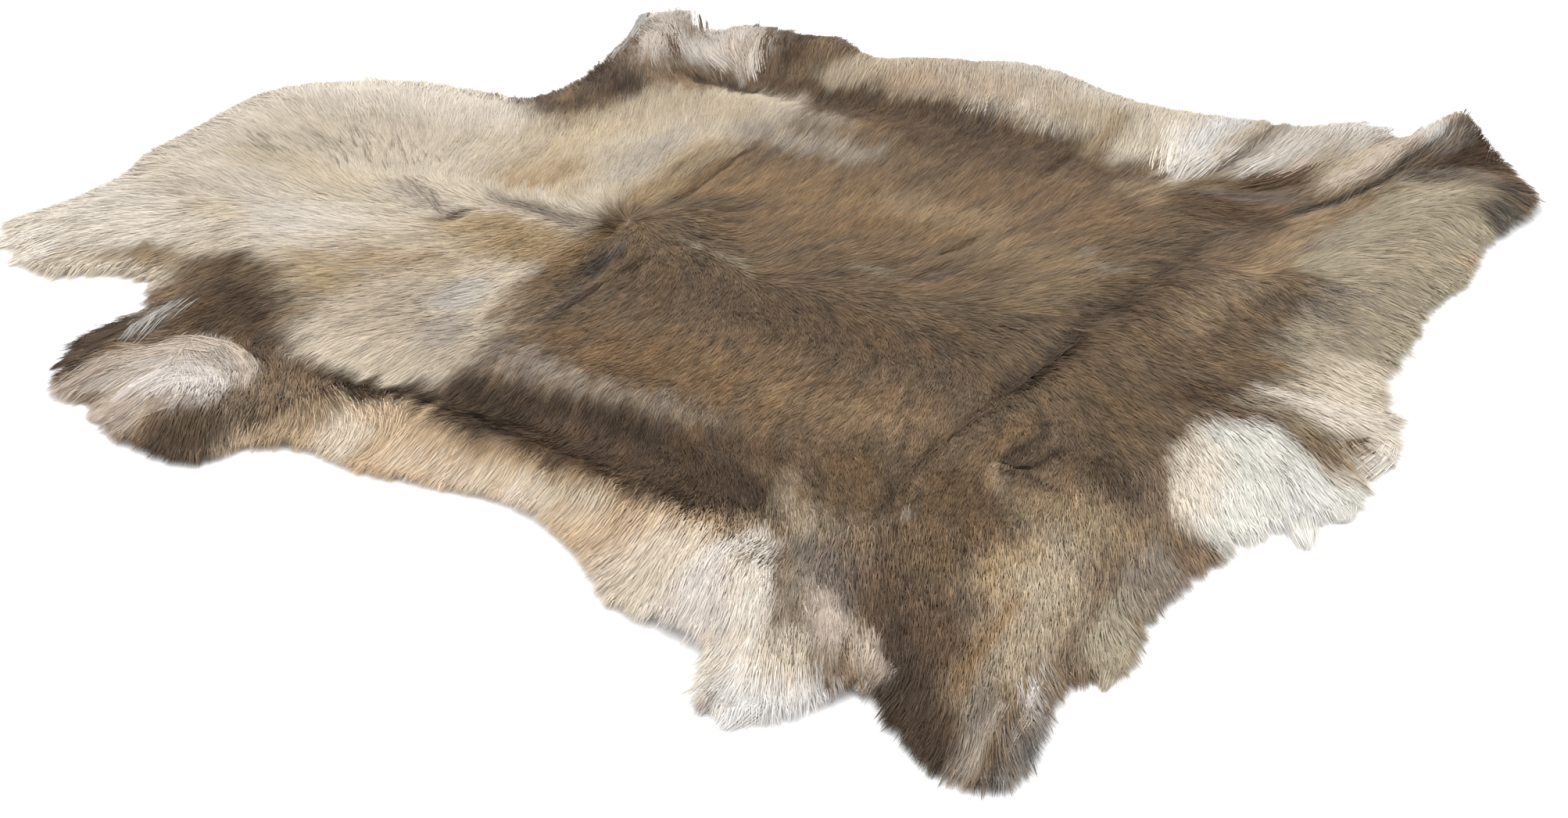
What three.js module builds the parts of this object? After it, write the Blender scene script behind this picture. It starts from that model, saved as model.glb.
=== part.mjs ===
// A tanned reindeer hide, laid out fur side up.
//
// The hide is one piece: the skin with its pile on it, cut along the belly and spread flat. The neck
// points to -X and the tail to +X. The animal's right side is towards +Y and +Z is up. Most of the
// skin lies on the floor at Z = 0. The legs, the belly edges and the thighs ripple and curl, so the
// skin rises off the floor there. The pile thins towards the rim and parts along a few creases.
//
// Units are millimetres. The origin is at the middle of the footprint, on the floor.

import * as THREE from "three";
import { mergeVertices } from "three/addons/utils/BufferGeometryUtils.js";

const FUR_COLOUR = 0x8a7660;
const FUR_ROUGHNESS = 0.9;

// The pelt: skin and pile together, measured from the skin's underside to the top of the lying fur.
const pelt = {
  thickness: 14, // on the back
  rimThickness: 5, // where the pile ends in hair tips
  rimTaper: 45, // distance from the rim over which the pile reaches its full height
  leastThickness: 4, // at the bottom of a crease
};

// Slow thick and thin places in the pile.
const swell = { height: 1.2, lengthX: 210, lengthY: 170 };

// How finely the sheet is divided: rings from the backbone out to the rim, closer together at the rim.
const furRings = 13;
const skinRings = 9;
const rimCrowding = 1.45;
const mergeReach = 0.01; // vertices closer than this are one

// The line of the backbone. Every rib of the mesh starts on it.
const backbone = [
  { x: -640, y: 20 },
  { x: -300, y: 55 },
  { x: 0, y: 35 },
  { x: 340, y: -5 },
];

// The two places where the right and the left edge meet.
const tailTip = { x: 454, y: -4 };
const neckMiddle = { x: -778, y: -2 };

// The cut edge, section by section from the tail to the neck, down the animal's right and left side.
// Each section has its number of mesh ribs, which leave the backbone between rootFrom and rootTo.
const sections = [
  {
    part: "rump",
    ribs: 20,
    rootFrom: 340,
    rootTo: 262,
    right: [
      { x: 447, y: 28 },
      { x: 428, y: 62 },
      { x: 408, y: 98 },
      { x: 398, y: 200 },
      { x: 391, y: 285 },
      { x: 400, y: 330 },
      { x: 388, y: 416 },
    ],
    left: [
      { x: 446, y: -46 },
      { x: 462, y: -84 },
      { x: 444, y: -124 },
      { x: 409, y: -166 },
      { x: 394, y: -226 },
      { x: 396, y: -275 },
      { x: 392, y: -330 },
      { x: 406, y: -396 },
    ],
  },
  {
    part: "hind leg",
    ribs: 15,
    rootFrom: 262,
    rootTo: 200,
    right: [
      { x: 400, y: 482 },
      { x: 402, y: 524 },
      { x: 372, y: 556 },
      { x: 341, y: 601 },
      { x: 306, y: 605 },
      { x: 286, y: 602 },
      { x: 270, y: 556 },
    ],
    left: [
      { x: 379, y: -427 },
      { x: 396, y: -508 },
      { x: 400, y: -580 },
      { x: 378, y: -584 },
      { x: 339, y: -566 },
      { x: 290, y: -534 },
      { x: 259, y: -503 },
    ],
  },
  {
    part: "belly",
    ribs: 30,
    rootFrom: 200,
    rootTo: -318,
    right: [
      { x: 244, y: 574 },
      { x: 203, y: 580 },
      { x: 175, y: 552 },
      { x: 114, y: 533 },
      { x: 36, y: 512 },
      { x: -24, y: 519 },
      { x: -84, y: 540 },
      { x: -140, y: 543 },
      { x: -176, y: 531 },
      { x: -233, y: 539 },
      { x: -268, y: 508 },
    ],
    left: [
      { x: 240, y: -548 },
      { x: 199, y: -584 },
      { x: 172, y: -574 },
      { x: 142, y: -522 },
      { x: 99, y: -502 },
      { x: 51, y: -501 },
      { x: 0, y: -459 },
      { x: -52, y: -426 },
      { x: -97, y: -407 },
      { x: -182, y: -416 },
      { x: -242, y: -422 },
      { x: -297, y: -413 },
    ],
  },
  {
    part: "foreleg",
    ribs: 20,
    rootFrom: -318,
    rootTo: -452,
    right: [
      { x: -298, y: 500 },
      { x: -318, y: 512 },
      { x: -353, y: 502 },
      { x: -397, y: 514 },
      { x: -433, y: 494 },
      { x: -455, y: 462 },
      { x: -500, y: 484 },
      { x: -513, y: 437 },
      { x: -515, y: 372 },
      { x: -522, y: 312 },
    ],
    left: [
      { x: -344, y: -440 },
      { x: -358, y: -476 },
      { x: -401, y: -480 },
      { x: -452, y: -468 },
      { x: -481, y: -437 },
      { x: -502, y: -428 },
      { x: -532, y: -443 },
      { x: -550, y: -392 },
      { x: -574, y: -348 },
      { x: -561, y: -278 },
    ],
  },
  {
    part: "neck",
    ribs: 15,
    rootFrom: -452,
    rootTo: -600,
    right: [
      { x: -540, y: 274 },
      { x: -600, y: 266 },
      { x: -665, y: 254 },
      { x: -725, y: 218 },
    ],
    left: [
      { x: -583, y: -240 },
      { x: -604, y: -226 },
      { x: -652, y: -233 },
      { x: -692, y: -262 },
      { x: -748, y: -222 },
    ],
  },
  {
    part: "neck cut",
    ribs: 8,
    rootFrom: -600,
    rootTo: -640,
    right: [
      { x: -764, y: 186 },
      { x: -775, y: 145 },
      { x: -775, y: 70 },
    ],
    left: [
      { x: -784, y: -192 },
      { x: -770, y: -135 },
      { x: -764, y: -70 },
    ],
  },
];

// Where the skin lifts off the floor: soft ridges, each along a line of stations. rise is how high
// the skin stands there, and reach is how far to each side it comes down to the floor again.
const ridges = [
  {
    name: "right foreleg curl",
    reach: 66,
    line: [
      { x: -478, y: 340, rise: 4 },
      { x: -492, y: 486, rise: 34 },
    ],
  },
  {
    name: "right foreleg lobe",
    reach: 58,
    line: [
      { x: -420, y: 500, rise: 20 },
      { x: -325, y: 500, rise: 27 },
    ],
  },
  {
    name: "right belly curl",
    reach: 62,
    line: [
      { x: -278, y: 488, rise: 14 },
      { x: -140, y: 542, rise: 24 },
      { x: 30, y: 510, rise: 21 },
      { x: 215, y: 578, rise: 16 },
    ],
  },
  {
    name: "right flank",
    reach: 62,
    line: [
      { x: -470, y: 330, rise: 4 },
      { x: -350, y: 342, rise: 11 },
      { x: -140, y: 338, rise: 8 },
      { x: 60, y: 325, rise: 3 },
    ],
  },
  {
    name: "right hind leg fold",
    reach: 44,
    line: [
      { x: 226, y: 408, rise: 6 },
      { x: 298, y: 602, rise: 38 },
    ],
  },
  {
    name: "right hind leg side",
    reach: 60,
    line: [
      { x: 330, y: 330, rise: 0 },
      { x: 368, y: 520, rise: 9 },
    ],
  },
  {
    name: "left flank",
    reach: 58,
    line: [
      { x: -430, y: -238, rise: 3 },
      { x: -180, y: -222, rise: 8 },
      { x: 20, y: -228, rise: 7 },
      { x: 150, y: -322, rise: 4 },
    ],
  },
  {
    name: "left belly roll",
    reach: 42,
    line: [
      { x: -310, y: -352, rise: 9 },
      { x: -140, y: -358, rise: 15 },
      { x: 10, y: -392, rise: 14 },
    ],
  },
  {
    name: "left thigh roll",
    reach: 56,
    line: [
      { x: 62, y: -398, rise: 18 },
      { x: 118, y: -470, rise: 20 },
    ],
  },
  {
    name: "left groin roll",
    reach: 34,
    line: [
      { x: 176, y: -432, rise: 11 },
      { x: 222, y: -520, rise: 9 },
    ],
  },
  {
    name: "left hind leg",
    reach: 46,
    line: [
      { x: 318, y: -448, rise: 4 },
      { x: 366, y: -530, rise: 10 },
    ],
  },
  {
    name: "left foreleg lobe",
    reach: 50,
    line: [
      { x: -440, y: -398, rise: 9 },
      { x: -385, y: -430, rise: 13 },
    ],
  },
  {
    name: "left foreleg tip",
    reach: 36,
    line: [
      { x: -524, y: -300, rise: 6 },
      { x: -534, y: -404, rise: 11 },
    ],
  },
  {
    name: "withers",
    reach: 78,
    line: [
      { x: -390, y: 190, rise: 3 },
      { x: -372, y: 20, rise: 3 },
    ],
  },
];

// Where the pile parts or is pressed: depth is taken off the pile, reach is the half width.
const creases = [
  {
    name: "loin crease",
    reach: 26,
    line: [
      { x: 182, y: 450, depth: 3 },
      { x: 165, y: 250, depth: 5 },
      { x: 150, y: 50, depth: 8 },
      { x: 143, y: -80, depth: 6 },
      { x: 140, y: -240, depth: 2 },
    ],
  },
  {
    name: "withers crease",
    reach: 22,
    line: [
      { x: -300, y: 300, depth: 3 },
      { x: -290, y: 180, depth: 5 },
      { x: -308, y: 92, depth: 4 },
      { x: -284, y: 0, depth: 6 },
      { x: -262, y: -72, depth: 2 },
    ],
  },
  {
    name: "neck crease",
    reach: 20,
    line: [
      { x: -460, y: 18, depth: 4 },
      { x: -400, y: 64, depth: 4 },
      { x: -312, y: 88, depth: 3 },
    ],
  },
  {
    name: "left flank trough",
    reach: 34,
    line: [
      { x: -500, y: -292, depth: 3 },
      { x: -400, y: -304, depth: 6 },
      { x: -180, y: -296, depth: 8 },
      { x: 0, y: -296, depth: 5 },
      { x: 110, y: -372, depth: 6 },
      { x: 268, y: -486, depth: 4 },
    ],
  },
  {
    name: "right flank trough",
    reach: 36,
    line: [
      { x: -510, y: 408, depth: 4 },
      { x: -440, y: 396, depth: 7 },
      { x: -345, y: 392, depth: 8 },
      { x: -200, y: 424, depth: 7 },
      { x: 40, y: 408, depth: 5 },
      { x: 190, y: 420, depth: 7 },
      { x: 256, y: 540, depth: 5 },
    ],
  },
];

// Smooth step from 0 to 1 as t goes from 0 to 1.
function ease(t) {
  const u = THREE.MathUtils.clamp(t, 0, 1);
  return u * u * (3 - 2 * u);
}

// The point of the backbone at x.
function backboneAt(x) {
  const last = backbone.length - 1;
  let i = 1;
  while (i < last && x > backbone[i].x) i += 1;
  const a = backbone[i - 1];
  const b = backbone[i];
  return new THREE.Vector3(x, THREE.MathUtils.lerp(a.y, b.y, (x - a.x) / (b.x - a.x)), 0);
}

// The nearest place to (x, y) on a line of stations: its distance, and the named value there.
function nearestOnLine(line, column, x, y) {
  let best = { distance: Infinity, value: 0 };
  for (let i = 1; i < line.length; i += 1) {
    const a = line[i - 1];
    const b = line[i];
    const along = (x - a.x) * (b.x - a.x) + (y - a.y) * (b.y - a.y);
    const t = THREE.MathUtils.clamp(along / ((b.x - a.x) ** 2 + (b.y - a.y) ** 2), 0, 1);
    const distance = Math.hypot(x - THREE.MathUtils.lerp(a.x, b.x, t), y - THREE.MathUtils.lerp(a.y, b.y, t));
    if (distance < best.distance) {
      best = { distance, value: THREE.MathUtils.lerp(a[column], b[column], t) };
    }
  }
  return best;
}

// The height that a table of ridges or creases has at (x, y), all of them added up.
function reliefAt(table, column, x, y) {
  let total = 0;
  for (const { line, reach } of table) {
    const { distance, value } = nearestOnLine(line, column, x, y);
    total += value * ease(1 - distance / reach);
  }
  return total;
}

// The rib tips of one side of the hide, from the tail to the neck, evenly spaced in each section. A
// section runs up to the next one's first station, and the last section up to the neck's middle.
function tipsOfSide(side) {
  const stations = [tailTip, ...sections.flatMap((section) => section[side]), neckMiddle];
  const curve = new THREE.CatmullRomCurve3(
    stations.map(({ x, y }) => new THREE.Vector3(x, y, 0)),
    false,
    "centripetal",
  );
  const stepsPerStation = 24;
  curve.arcLengthDivisions = stepsPerStation * (stations.length - 1);
  const lengths = curve.getLengths();
  const tips = [];
  let start = 0;
  let end = 1;
  for (const section of sections) {
    end += section[side].length;
    const from = lengths[start * stepsPerStation];
    const to = lengths[end * stepsPerStation];
    for (let rib = 0; rib < section.ribs; rib += 1) {
      tips.push(curve.getPointAt(THREE.MathUtils.lerp(from, to, rib / section.ribs) / lengths.at(-1)));
    }
    start = end;
  }
  return tips;
}

// All ribs in one round, anticlockwise seen from above: down the right side and back up the left.
function makeRibs() {
  const end = sections.at(-1);
  const roots = sections.flatMap(({ ribs, rootFrom, rootTo }) =>
    Array.from({ length: ribs }, (_, rib) => backboneAt(THREE.MathUtils.lerp(rootFrom, rootTo, rib / ribs))),
  );
  const right = tipsOfSide("right").map((tip, i) => ({ tip, root: roots[i] }));
  const left = tipsOfSide("left").map((tip, i) => ({ tip, root: roots[i] }));
  const neck = { tip: new THREE.Vector3(neckMiddle.x, neckMiddle.y, 0), root: backboneAt(end.rootTo) };
  return [...right, neck, ...left.slice(1).reverse()];
}

// The distance from (x, y) to the cut edge.
function rimDistance(ribs, x, y) {
  let nearest = Infinity;
  ribs.forEach(({ tip }, i) => {
    const line = [tip, ribs[(i + 1) % ribs.length].tip];
    nearest = Math.min(nearest, nearestOnLine(line, "z", x, y).distance);
  });
  return nearest;
}

// The height of the skin's underside over the floor at (x, y).
function skinAt(x, y) {
  return reliefAt(ridges, "rise", x, y);
}

// The height of the top of the fur over the floor at (x, y).
function furAt(ribs, x, y) {
  const wave = Math.cos((2 * Math.PI * x) / swell.lengthX) * Math.cos((2 * Math.PI * y) / swell.lengthY);
  const full = pelt.thickness + swell.height * wave - reliefAt(creases, "depth", x, y);
  const inland = ease(rimDistance(ribs, x, y) / pelt.rimTaper);
  return skinAt(x, y) + THREE.MathUtils.lerp(pelt.rimThickness, Math.max(full, pelt.leastThickness), inland);
}

// The sheet: rings of vertices from the backbone out to the rim, once for the fur and once for the
// skin's underside, with a narrow wall round the rim.
function makePelt() {
  const ribs = makeRibs();
  const positions = [];
  const triangles = [];

  // Lays the rings of one face and returns the first vertex of its rim.
  function layFace(rings, heightAt, facesUp) {
    const first = positions.length / 3;
    for (let ring = 0; ring <= rings; ring += 1) {
      const out = 1 - (1 - ring / rings) ** rimCrowding;
      for (const { root, tip } of ribs) {
        const place = root.clone().lerp(tip, out);
        positions.push(place.x, place.y, heightAt(place.x, place.y));
      }
    }
    for (let ring = 0; ring < rings; ring += 1) {
      const inner = first + ring * ribs.length;
      joinRounds(inner, inner + ribs.length, facesUp);
    }
    return first + rings * ribs.length;
  }

  // Fills the strip between two rounds of vertices, which hold one vertex for each rib.
  function joinRounds(inner, outer, facesUp) {
    for (let rib = 0; rib < ribs.length; rib += 1) {
      const next = (rib + 1) % ribs.length;
      const corners = [inner + rib, outer + rib, outer + next, inner + next];
      if (!facesUp) corners.reverse();
      const [a, b, c, d] = corners;
      triangles.push(a, b, c, a, c, d);
    }
  }

  const furRim = layFace(furRings, (x, y) => furAt(ribs, x, y), true);
  const skinRim = layFace(skinRings, skinAt, false);
  joinRounds(furRim, skinRim, true);

  const geometry = new THREE.BufferGeometry();
  geometry.setAttribute("position", new THREE.Float32BufferAttribute(positions, 3));
  geometry.setIndex(triangles);
  return mergeVertices(geometry, mergeReach);
}

const hide = new THREE.Mesh(
  makePelt(),
  new THREE.MeshStandardMaterial({ color: FUR_COLOUR, roughness: FUR_ROUGHNESS, metalness: 0 }),
);
hide.name = "hide";

// The origin is the middle of the footprint.
hide.geometry.computeBoundingBox();
const middle = hide.geometry.boundingBox.getCenter(new THREE.Vector3());
hide.geometry.translate(-middle.x, -middle.y, 0);

const group = new THREE.Group();
group.add(hide);

export default group;
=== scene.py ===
import math

import bpy
import numpy as np
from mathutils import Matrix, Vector
from mathutils.bvhtree import BVHTree


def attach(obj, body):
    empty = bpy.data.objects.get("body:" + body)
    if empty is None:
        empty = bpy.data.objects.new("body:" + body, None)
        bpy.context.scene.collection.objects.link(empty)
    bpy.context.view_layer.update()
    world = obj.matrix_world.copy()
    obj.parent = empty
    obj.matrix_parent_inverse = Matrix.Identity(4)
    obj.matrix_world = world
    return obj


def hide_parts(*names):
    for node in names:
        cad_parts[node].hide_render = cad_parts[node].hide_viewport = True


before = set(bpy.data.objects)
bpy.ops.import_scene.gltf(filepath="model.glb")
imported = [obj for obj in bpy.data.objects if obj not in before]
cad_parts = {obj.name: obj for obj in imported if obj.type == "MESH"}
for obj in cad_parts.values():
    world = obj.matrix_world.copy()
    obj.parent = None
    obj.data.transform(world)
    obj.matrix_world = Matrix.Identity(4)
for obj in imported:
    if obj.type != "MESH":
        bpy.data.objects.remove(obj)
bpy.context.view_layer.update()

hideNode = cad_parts["hide"]
dice = np.random.default_rng(41)

shot = {
    "place": (1.4042, -2.3627, 1.3040),
    "target": (0.1615, -0.1754, 0.0),
    "lens": 80,
    "sensor": 36,
    "clipEnd": 50,
}


def aim(thing, target):
    way = Vector(target) - thing.location
    thing.rotation_euler = way.to_track_quat("-Z", "Y").to_euler()


def addCamera(shot):
    lens = bpy.data.cameras.new("shot")
    lens.lens = shot["lens"]
    lens.sensor_width = shot["sensor"]
    lens.dof.use_dof = False
    lens.clip_end = shot["clipEnd"]
    camera = bpy.data.objects.new("shot", lens)
    camera.location = shot["place"]
    bpy.context.collection.objects.link(camera)
    aim(camera, shot["target"])
    bpy.context.scene.camera = camera


addCamera(shot)

studio = {
    "skyStrength": 1.26,
    "keyPlace": (-3.2, 4.4, 6.0),
    "keySize": 5.2,
    "keyPower": 430,
    "floorSize": 14,
}


def addStudio(studio):
    scene = bpy.context.scene
    scene.view_settings.view_transform = "Standard"
    sky = bpy.data.worlds.new("white room")
    sky.use_nodes = True
    sky.node_tree.nodes["Background"].inputs["Color"].default_value = (1, 1, 1, 1)
    sky.node_tree.nodes["Background"].inputs["Strength"].default_value = studio["skyStrength"]
    scene.world = sky
    lamp = bpy.data.lights.new("soft box", "AREA")
    lamp.shape = "SQUARE"
    lamp.size = studio["keySize"]
    lamp.energy = studio["keyPower"]
    box = bpy.data.objects.new("soft box", lamp)
    box.location = studio["keyPlace"]
    bpy.context.collection.objects.link(box)
    aim(box, (0, 0, 0))


addStudio(studio)
print("camera and light set")


def linear(code):
    channels = [int(code[i:i + 2], 16) / 255 for i in (1, 3, 5)]
    return tuple(c / 12.92 if c <= 0.04045 else ((c + 0.055) / 1.055) ** 2.4 for c in channels)


def newMaterial(name):
    material = bpy.data.materials.new(name)
    material.use_nodes = True
    return material, material.node_tree.nodes["Principled BSDF"]


# one node, its settings, what feeds it and what it feeds
def addNode(material, kind, settings=None, feeds=None, into=None):
    tree = material.node_tree
    node = tree.nodes.new(kind)
    for key, value in (settings or {}).items():
        if hasattr(node, key):
            setattr(node, key, value)
        else:
            node.inputs[key].default_value = value
    for socket, source in (feeds or {}).items():
        tree.links.new(source, node.inputs[socket])
    for output, target in (into or {}).items():
        tree.links.new(node.outputs[output], target)
    return node


# Plan measures are millimetres: x runs towards the tail, y towards the right side.
planZero = (161.5, -10.4)
planBox = {"x0": -880.0, "x1": 520.0, "y0": -650.0, "y1": 690.0}
shellMargin, hairMargin = 20, 30
cell = 4.0
fineCell = cell / 2


# places over the plan, from start past its first corner to stop past its last one
def planGrid(step, start, stop):
    xs = np.arange(planBox["x0"] + start, planBox["x1"] + stop, step)
    ys = np.arange(planBox["y0"] + start, planBox["y1"] + stop, step)
    return np.meshgrid(xs, ys)


planX, planY = planGrid(cell, 0, cell)


def toFrame(x, y):
    return (np.asarray(x) + planZero[0]) / 1000, (np.asarray(y) + planZero[1]) / 1000


def ease(t):
    t = np.clip(t, 0, 1)
    return t * t * (3 - 2 * t)


def sampleMap(values, x, y, step=cell):
    u = np.clip((x - planBox["x0"]) / step, 0, values.shape[1] - 1.001)
    v = np.clip((y - planBox["y0"]) / step, 0, values.shape[0] - 1.001)
    i, j = u.astype(int), v.astype(int)
    a, b = u - i, v - j
    return (values[j, i] * (1 - a) * (1 - b) + values[j, i + 1] * a * (1 - b)
            + values[j + 1, i] * (1 - a) * b + values[j + 1, i + 1] * a * b)


# smooth random values between -1 and 1, size is the width of one swell
def softNoise(x, y, size, seed):
    net = np.random.default_rng(seed).uniform(-1, 1, (128, 128))
    u, v = np.asarray(x) / size + 500, np.asarray(y) / size + 500
    i, j = np.floor(u).astype(int), np.floor(v).astype(int)
    a, b = ease(u - i), ease(v - j)
    i, j = i % 128, j % 128
    k, m = (i + 1) % 128, (j + 1) % 128
    return (net[j, i] * (1 - a) * (1 - b) + net[j, k] * a * (1 - b)
            + net[m, i] * (1 - a) * b + net[m, k] * a * b)


def blurred(values, reach):
    span = int(math.ceil(reach * 3 / cell))
    steps = np.arange(-span, span + 1) * cell
    weights = np.exp(-0.5 * (steps / reach) ** 2)
    weights /= weights.sum()
    padded = np.pad(values, span, mode="edge")
    rows = sum(w * padded[:, k:k + values.shape[1]] for k, w in enumerate(weights))
    return sum(w * rows[k:k + values.shape[0], :] for k, w in enumerate(weights))


# how far each place is from a line of points, and the line's own value there
def nearLine(x, y, line):
    best = np.full(np.shape(x), 1e9)
    worth = np.zeros(np.shape(x))
    for (x0, y0, w0), (x1, y1, w1) in zip(line[:-1], line[1:]):
        dx, dy = x1 - x0, y1 - y0
        t = np.clip(((x - x0) * dx + (y - y0) * dy) / (dx * dx + dy * dy), 0, 1)
        far = np.hypot(x - x0 - t * dx, y - y0 - t * dy)
        closer = far < best
        best = np.where(closer, far, best)
        worth = np.where(closer, w0 + t * (w1 - w0), worth)
    return best, worth


# how far inside an outline each place lies, past it negative
def insideOf(x, y, outline):
    far, _ = nearLine(x, y, [(px, py, 0) for px, py in outline + outline[:1]])
    odd = np.zeros(np.shape(x), dtype=bool)
    for (x0, y0), (x1, y1) in zip(outline, outline[1:] + outline[:1]):
        if y0 != y1:
            odd ^= ((y0 > y) != (y1 > y)) & (x < x0 + (y - y0) * (x1 - x0) / (y1 - y0))
    return np.where(odd, far, -far)


# the cut edge: the wall round it is the only upright part of the solid
def cutEdge(mesh):
    beside = {}
    for face in mesh.polygons:
        if abs(face.normal.z) > 1e-3:
            continue
        spots = [tuple(round(c, 5) for c in mesh.vertices[i].co[:2]) for i in face.vertices]
        for a, b in zip(spots, spots[1:] + spots[:1]):
            if a != b:
                beside.setdefault(a, set()).add(b)
                beside.setdefault(b, set()).add(a)
    # a seam spot left over from the solid's own rounding leads nowhere
    for spare in [s for s in beside if len(beside[s]) < 2]:
        for other in beside.pop(spare):
            beside[other].discard(spare)
    start = min(beside)
    edge, ahead = [start], min(beside[start])
    while ahead != start:
        edge.append(ahead)
        ahead = next(s for s in beside[ahead] if s != edge[-2])
    return np.array(edge)


edgeFrame = cutEdge(hideNode.data)
edgeX = edgeFrame[:, 0] * 1000 - planZero[0]
edgeY = edgeFrame[:, 1] * 1000 - planZero[1]
print("cut edge", len(edgeX), "points")

inward = insideOf(planX, planY, list(zip(edgeX, edgeY)))
outY, outX = np.gradient(-inward, cell)
turn = np.hypot(outX, outY) + 1e-6
outX, outY = outX / turn, outY / turn


# the height of the solid's face as it is met from start, going way
def readHeights(node, start, way):
    mesh = node.data
    corners = [node.matrix_world @ v.co for v in mesh.vertices]
    tree = BVHTree.FromPolygons(corners, [tuple(p.vertices) for p in mesh.polygons])
    heights = np.full(planX.shape, np.nan)
    for j, i in zip(*np.nonzero(inward > 0.5)):
        x, y = toFrame(planX[j, i], planY[j, i])
        hit = tree.ray_cast(Vector((x, y, start)), Vector((0, 0, way)))[0]
        if hit:
            heights[j, i] = hit.z * 1000
    return heights


# carries the values on past the cut edge, one cell a round
def spreadOut(values, rounds):
    for _ in range(rounds):
        empty = np.isnan(values)
        ring = np.pad(values, 1, constant_values=np.nan)
        near = np.stack([ring[1:-1, :-2], ring[1:-1, 2:], ring[:-2, 1:-1], ring[2:, 1:-1]])
        count = (~np.isnan(near)).sum(0)
        mean = np.nansum(near, 0) / np.maximum(count, 1)
        values = np.where(empty & (count > 0), mean, values)
    return np.where(np.isnan(values), 0, values)


surfaces = {"above": 0.3, "below": -0.1, "pastEdge": 18, "smoothing": 7}

furTop = readHeights(hideNode, surfaces["above"], -1)
furTop = blurred(spreadOut(furTop, surfaces["pastEdge"]), surfaces["smoothing"])
skinLow = readHeights(hideNode, surfaces["below"], 1)
skinLow = blurred(spreadOut(skinLow, surfaces["pastEdge"]), surfaces["smoothing"])
print("heights read, fur top up to %.1f mm" % furTop.max())


# The tables are marked out as the camera sees the lying hide, on the floor behind each spot: one
# z mm up is marked 0.953 z nearer the neck and 1.68 z nearer the right side than it lies.
slant = (-0.953, 1.68)
markX, markY = planX + slant[0] * furTop, planY + slant[1] * furTop

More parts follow.
